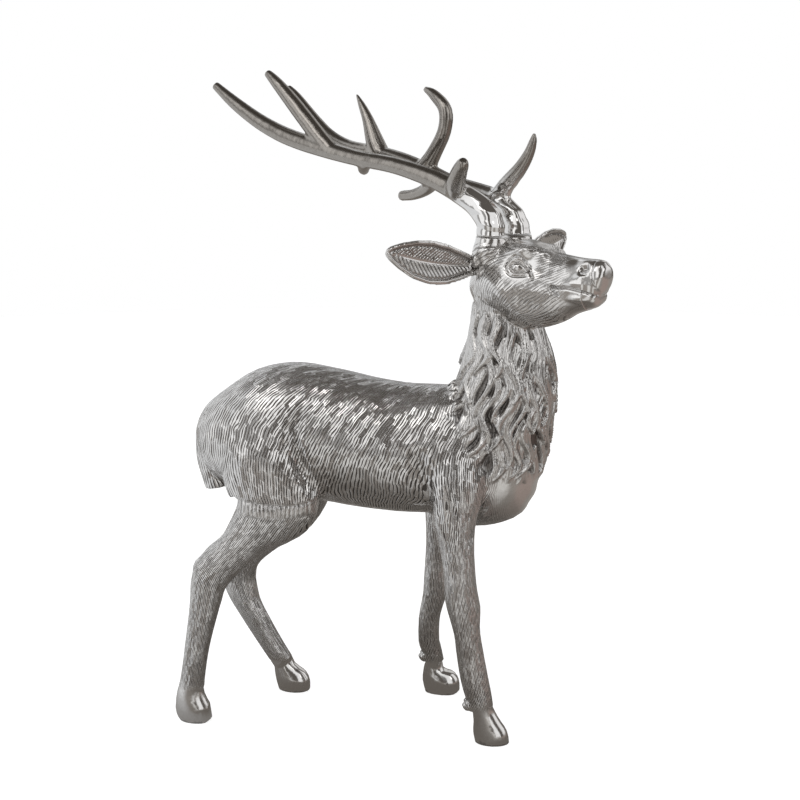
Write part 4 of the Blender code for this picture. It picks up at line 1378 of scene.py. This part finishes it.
def make_dome():
    """The metal sees the painted light, and the camera plain white."""
    bm = bmesh.new()
    bmesh.ops.create_uvsphere(bm, u_segments=48, v_segments=24, radius=DOME_RADIUS)
    bmesh.ops.reverse_faces(bm, faces=bm.faces)
    mesh = bpy.data.meshes.new("studio_dome")
    bm.to_mesh(mesh)
    bm.free()
    material, tree, surface = stage_material("studio_light")
    way = vector_node(tree, "NORMALIZE", tree.nodes.new("ShaderNodeTexCoord").outputs["Object"])
    level_way = vector_node(tree, "NORMALIZE", vector_node(tree, "MULTIPLY", way, (1, 1, 0)))
    height = parts_of(tree, "ShaderNodeSeparateXYZ", way)["Z"]
    colour = mixed_colour(tree, soft_step(tree, height, *DOME_SPAN), (*DOME_HIGH, 1), (*DOME_LOW, 1))
    for turn, half, bottom, top, soft, tint, strength in DOME_LIGHTS:
        above = soft_step(tree, height, *(math.sin(math.radians(bottom + s)) for s in (-soft, soft)))
        below = soft_step(tree, height, *(math.sin(math.radians(top + s)) for s in (soft, -soft)))
        share = times(tree, towards_share(tree, level_way, turn, half, soft), times(tree, above, below))
        light = mixed_colour(tree, share, (0, 0, 0, 1), (*(strength * c for c in tint), 1))
        colour = vector_node(tree, "ADD", colour, light)
    seen = tree.nodes.new("ShaderNodeLightPath").outputs["Is Camera Ray"]
    glow = tree.nodes.new("ShaderNodeEmission")
    tree.links.new(mixed_colour(tree, seen, colour, (1, 1, 1, 1)), glow.inputs["Color"])
    tree.links.new(glow.outputs["Emission"], surface)
    dome = put_in_scene("studio_dome", mesh, material)


# What the metal sees of the floor, painted as a glow: darker near the figure as painted shadow and brighter
# far from it, with painted pools of light by direction: turn from the front towards the right, half width and
# softness in degrees, and colour. Then how the camera sees it: the grey that takes shadows and its own glow
FLOOR_RADIUS = 3.0
FLOOR_DROP = 0.0006
FLOOR_NEAR_SHADOW = (0.17, 0.155, 0.14)
FLOOR_FAR = (0.36, 0.335, 0.31)
FLOOR_LIGHT_POOLS = (
    (-92, 40, 8, (0.92, 0.94, 0.96)),
    (-13, 12, 5, (0.88, 0.88, 0.87)),
    (34, 9, 5, (0.80, 0.79, 0.77)),
    (84, 22, 10, (0.40, 0.33, 0.30)),
)
FLOOR_SPAN = (0.10, 0.48)
FLOOR_GREY = 0.55
FLOOR_GLOW = 0.82


def make_floor():
    """The metal sees a glowing floor, with painted shadow near the figure and painted pools of light, and the
    camera a pale one with soft shadows.
    """
    bm = bmesh.new()
    bmesh.ops.create_circle(bm, cap_ends=True, segments=96, radius=FLOOR_RADIUS)
    bmesh.ops.translate(bm, verts=bm.verts, vec=(0, 0, -FLOOR_DROP))
    mesh = bpy.data.meshes.new("studio_floor")
    bm.to_mesh(mesh)
    bm.free()
    material, tree, surface = stage_material("pale_floor")
    place = tree.nodes.new("ShaderNodeTexCoord").outputs["Object"]
    away = soft_step(tree, vector_node(tree, "LENGTH", place), *FLOOR_SPAN)
    way = vector_node(tree, "NORMALIZE", place)
    far = (*FLOOR_FAR, 1)
    for turn, half, soft, tint in FLOOR_LIGHT_POOLS:
        far = mixed_colour(tree, towards_share(tree, way, turn, half, soft), far, (*tint, 1))
    dim = tree.nodes.new("ShaderNodeEmission")
    # painted shadow on the floor near the figure and painted pools of light further out, as the metal sees it
    tree.links.new(mixed_colour(tree, away, (*FLOOR_NEAR_SHADOW, 1), far), dim.inputs["Color"])
    pale = tree.nodes.new("ShaderNodeBsdfDiffuse")
    pale.inputs["Color"].default_value = (FLOOR_GREY, FLOOR_GREY, FLOOR_GREY, 1)
    glow = tree.nodes.new("ShaderNodeEmission")
    glow.inputs["Color"].default_value = (FLOOR_GLOW, FLOOR_GLOW, FLOOR_GLOW, 1)
    both = tree.nodes.new("ShaderNodeAddShader")
    tree.links.new(pale.outputs["BSDF"], both.inputs[0])
    tree.links.new(glow.outputs["Emission"], both.inputs[1])
    choose = tree.nodes.new("ShaderNodeMixShader")
    tree.links.new(tree.nodes.new("ShaderNodeLightPath").outputs["Is Camera Ray"], choose.inputs["Fac"])
    tree.links.new(dim.outputs["Emission"], choose.inputs[1])
    tree.links.new(both.outputs["Shader"], choose.inputs[2])
    tree.links.new(choose.outputs["Shader"], surface)
    floor = put_in_scene("studio_floor", mesh, material)


# The camera stands where the photograph was taken from, in shares of the figure's drawing
CAMERA_AT = (274.4, -1285.0, 555.0)
CAMERA_TURN = math.radians(10.0)
CAMERA_DIP = math.radians(10.9)
# Its lens and the width of its film, in millimetres
CAMERA_LENS = 65.34
CAMERA_FILM = 36.0


def make_camera(middle):
    camera = bpy.data.objects.new("camera", bpy.data.cameras.new("camera"))
    camera.data.lens = CAMERA_LENS
    camera.data.sensor_width = CAMERA_FILM
    camera.location = (np.array(CAMERA_AT) - middle) * UNIT
    camera.rotation_euler = (math.pi / 2 - CAMERA_DIP, 0.0, CAMERA_TURN)
    bpy.context.scene.collection.objects.link(camera)
    bpy.context.scene.camera = camera


def finish_piece(name, mesh, middle, material, node):
    """Brings a piece to metres, sets it over its solid under the root, and hides the solid's node."""
    place_points(mesh, (points_of(mesh) - middle) * UNIT)
    mesh.shade_smooth()
    piece = put_in_scene(name, mesh, material)
    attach(piece, "root")
    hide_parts(node)


def main():
    unevenness = make_cast_group()
    engraved = make_engraved_metal(make_stroke_group(), unevenness)
    bright = make_bright_metal(unevenness)
    pieces = (
        ("stag", build_body(), engraved, "body", "engraved_aluminium"),
        ("right_antler", build_antler("right", -1, RIGHT_SWEEP, RIGHT_BEAM, RIGHT_TINES), bright,
         "antler_right", "bright_aluminium"),
        ("left_antler", build_antler("left", 1, LEFT_SWEEP, LEFT_BEAM, LEFT_TINES), bright,
         "antler_left", "bright_aluminium"),
    )
    everything = np.vstack([points_of(mesh) for _, mesh, _, _, _ in pieces])
    low, high = everything.min(axis=0), everything.max(axis=0)
    middle = np.array([(low[0] + high[0]) / 2, (low[1] + high[1]) / 2, low[2]])
    for name, mesh, material, node, slot in pieces:
        finish_piece(name, mesh, middle, material, node)
    make_dome()
    make_floor()
    make_camera(middle)
    bpy.context.scene.view_settings.view_transform = "Standard"


main()
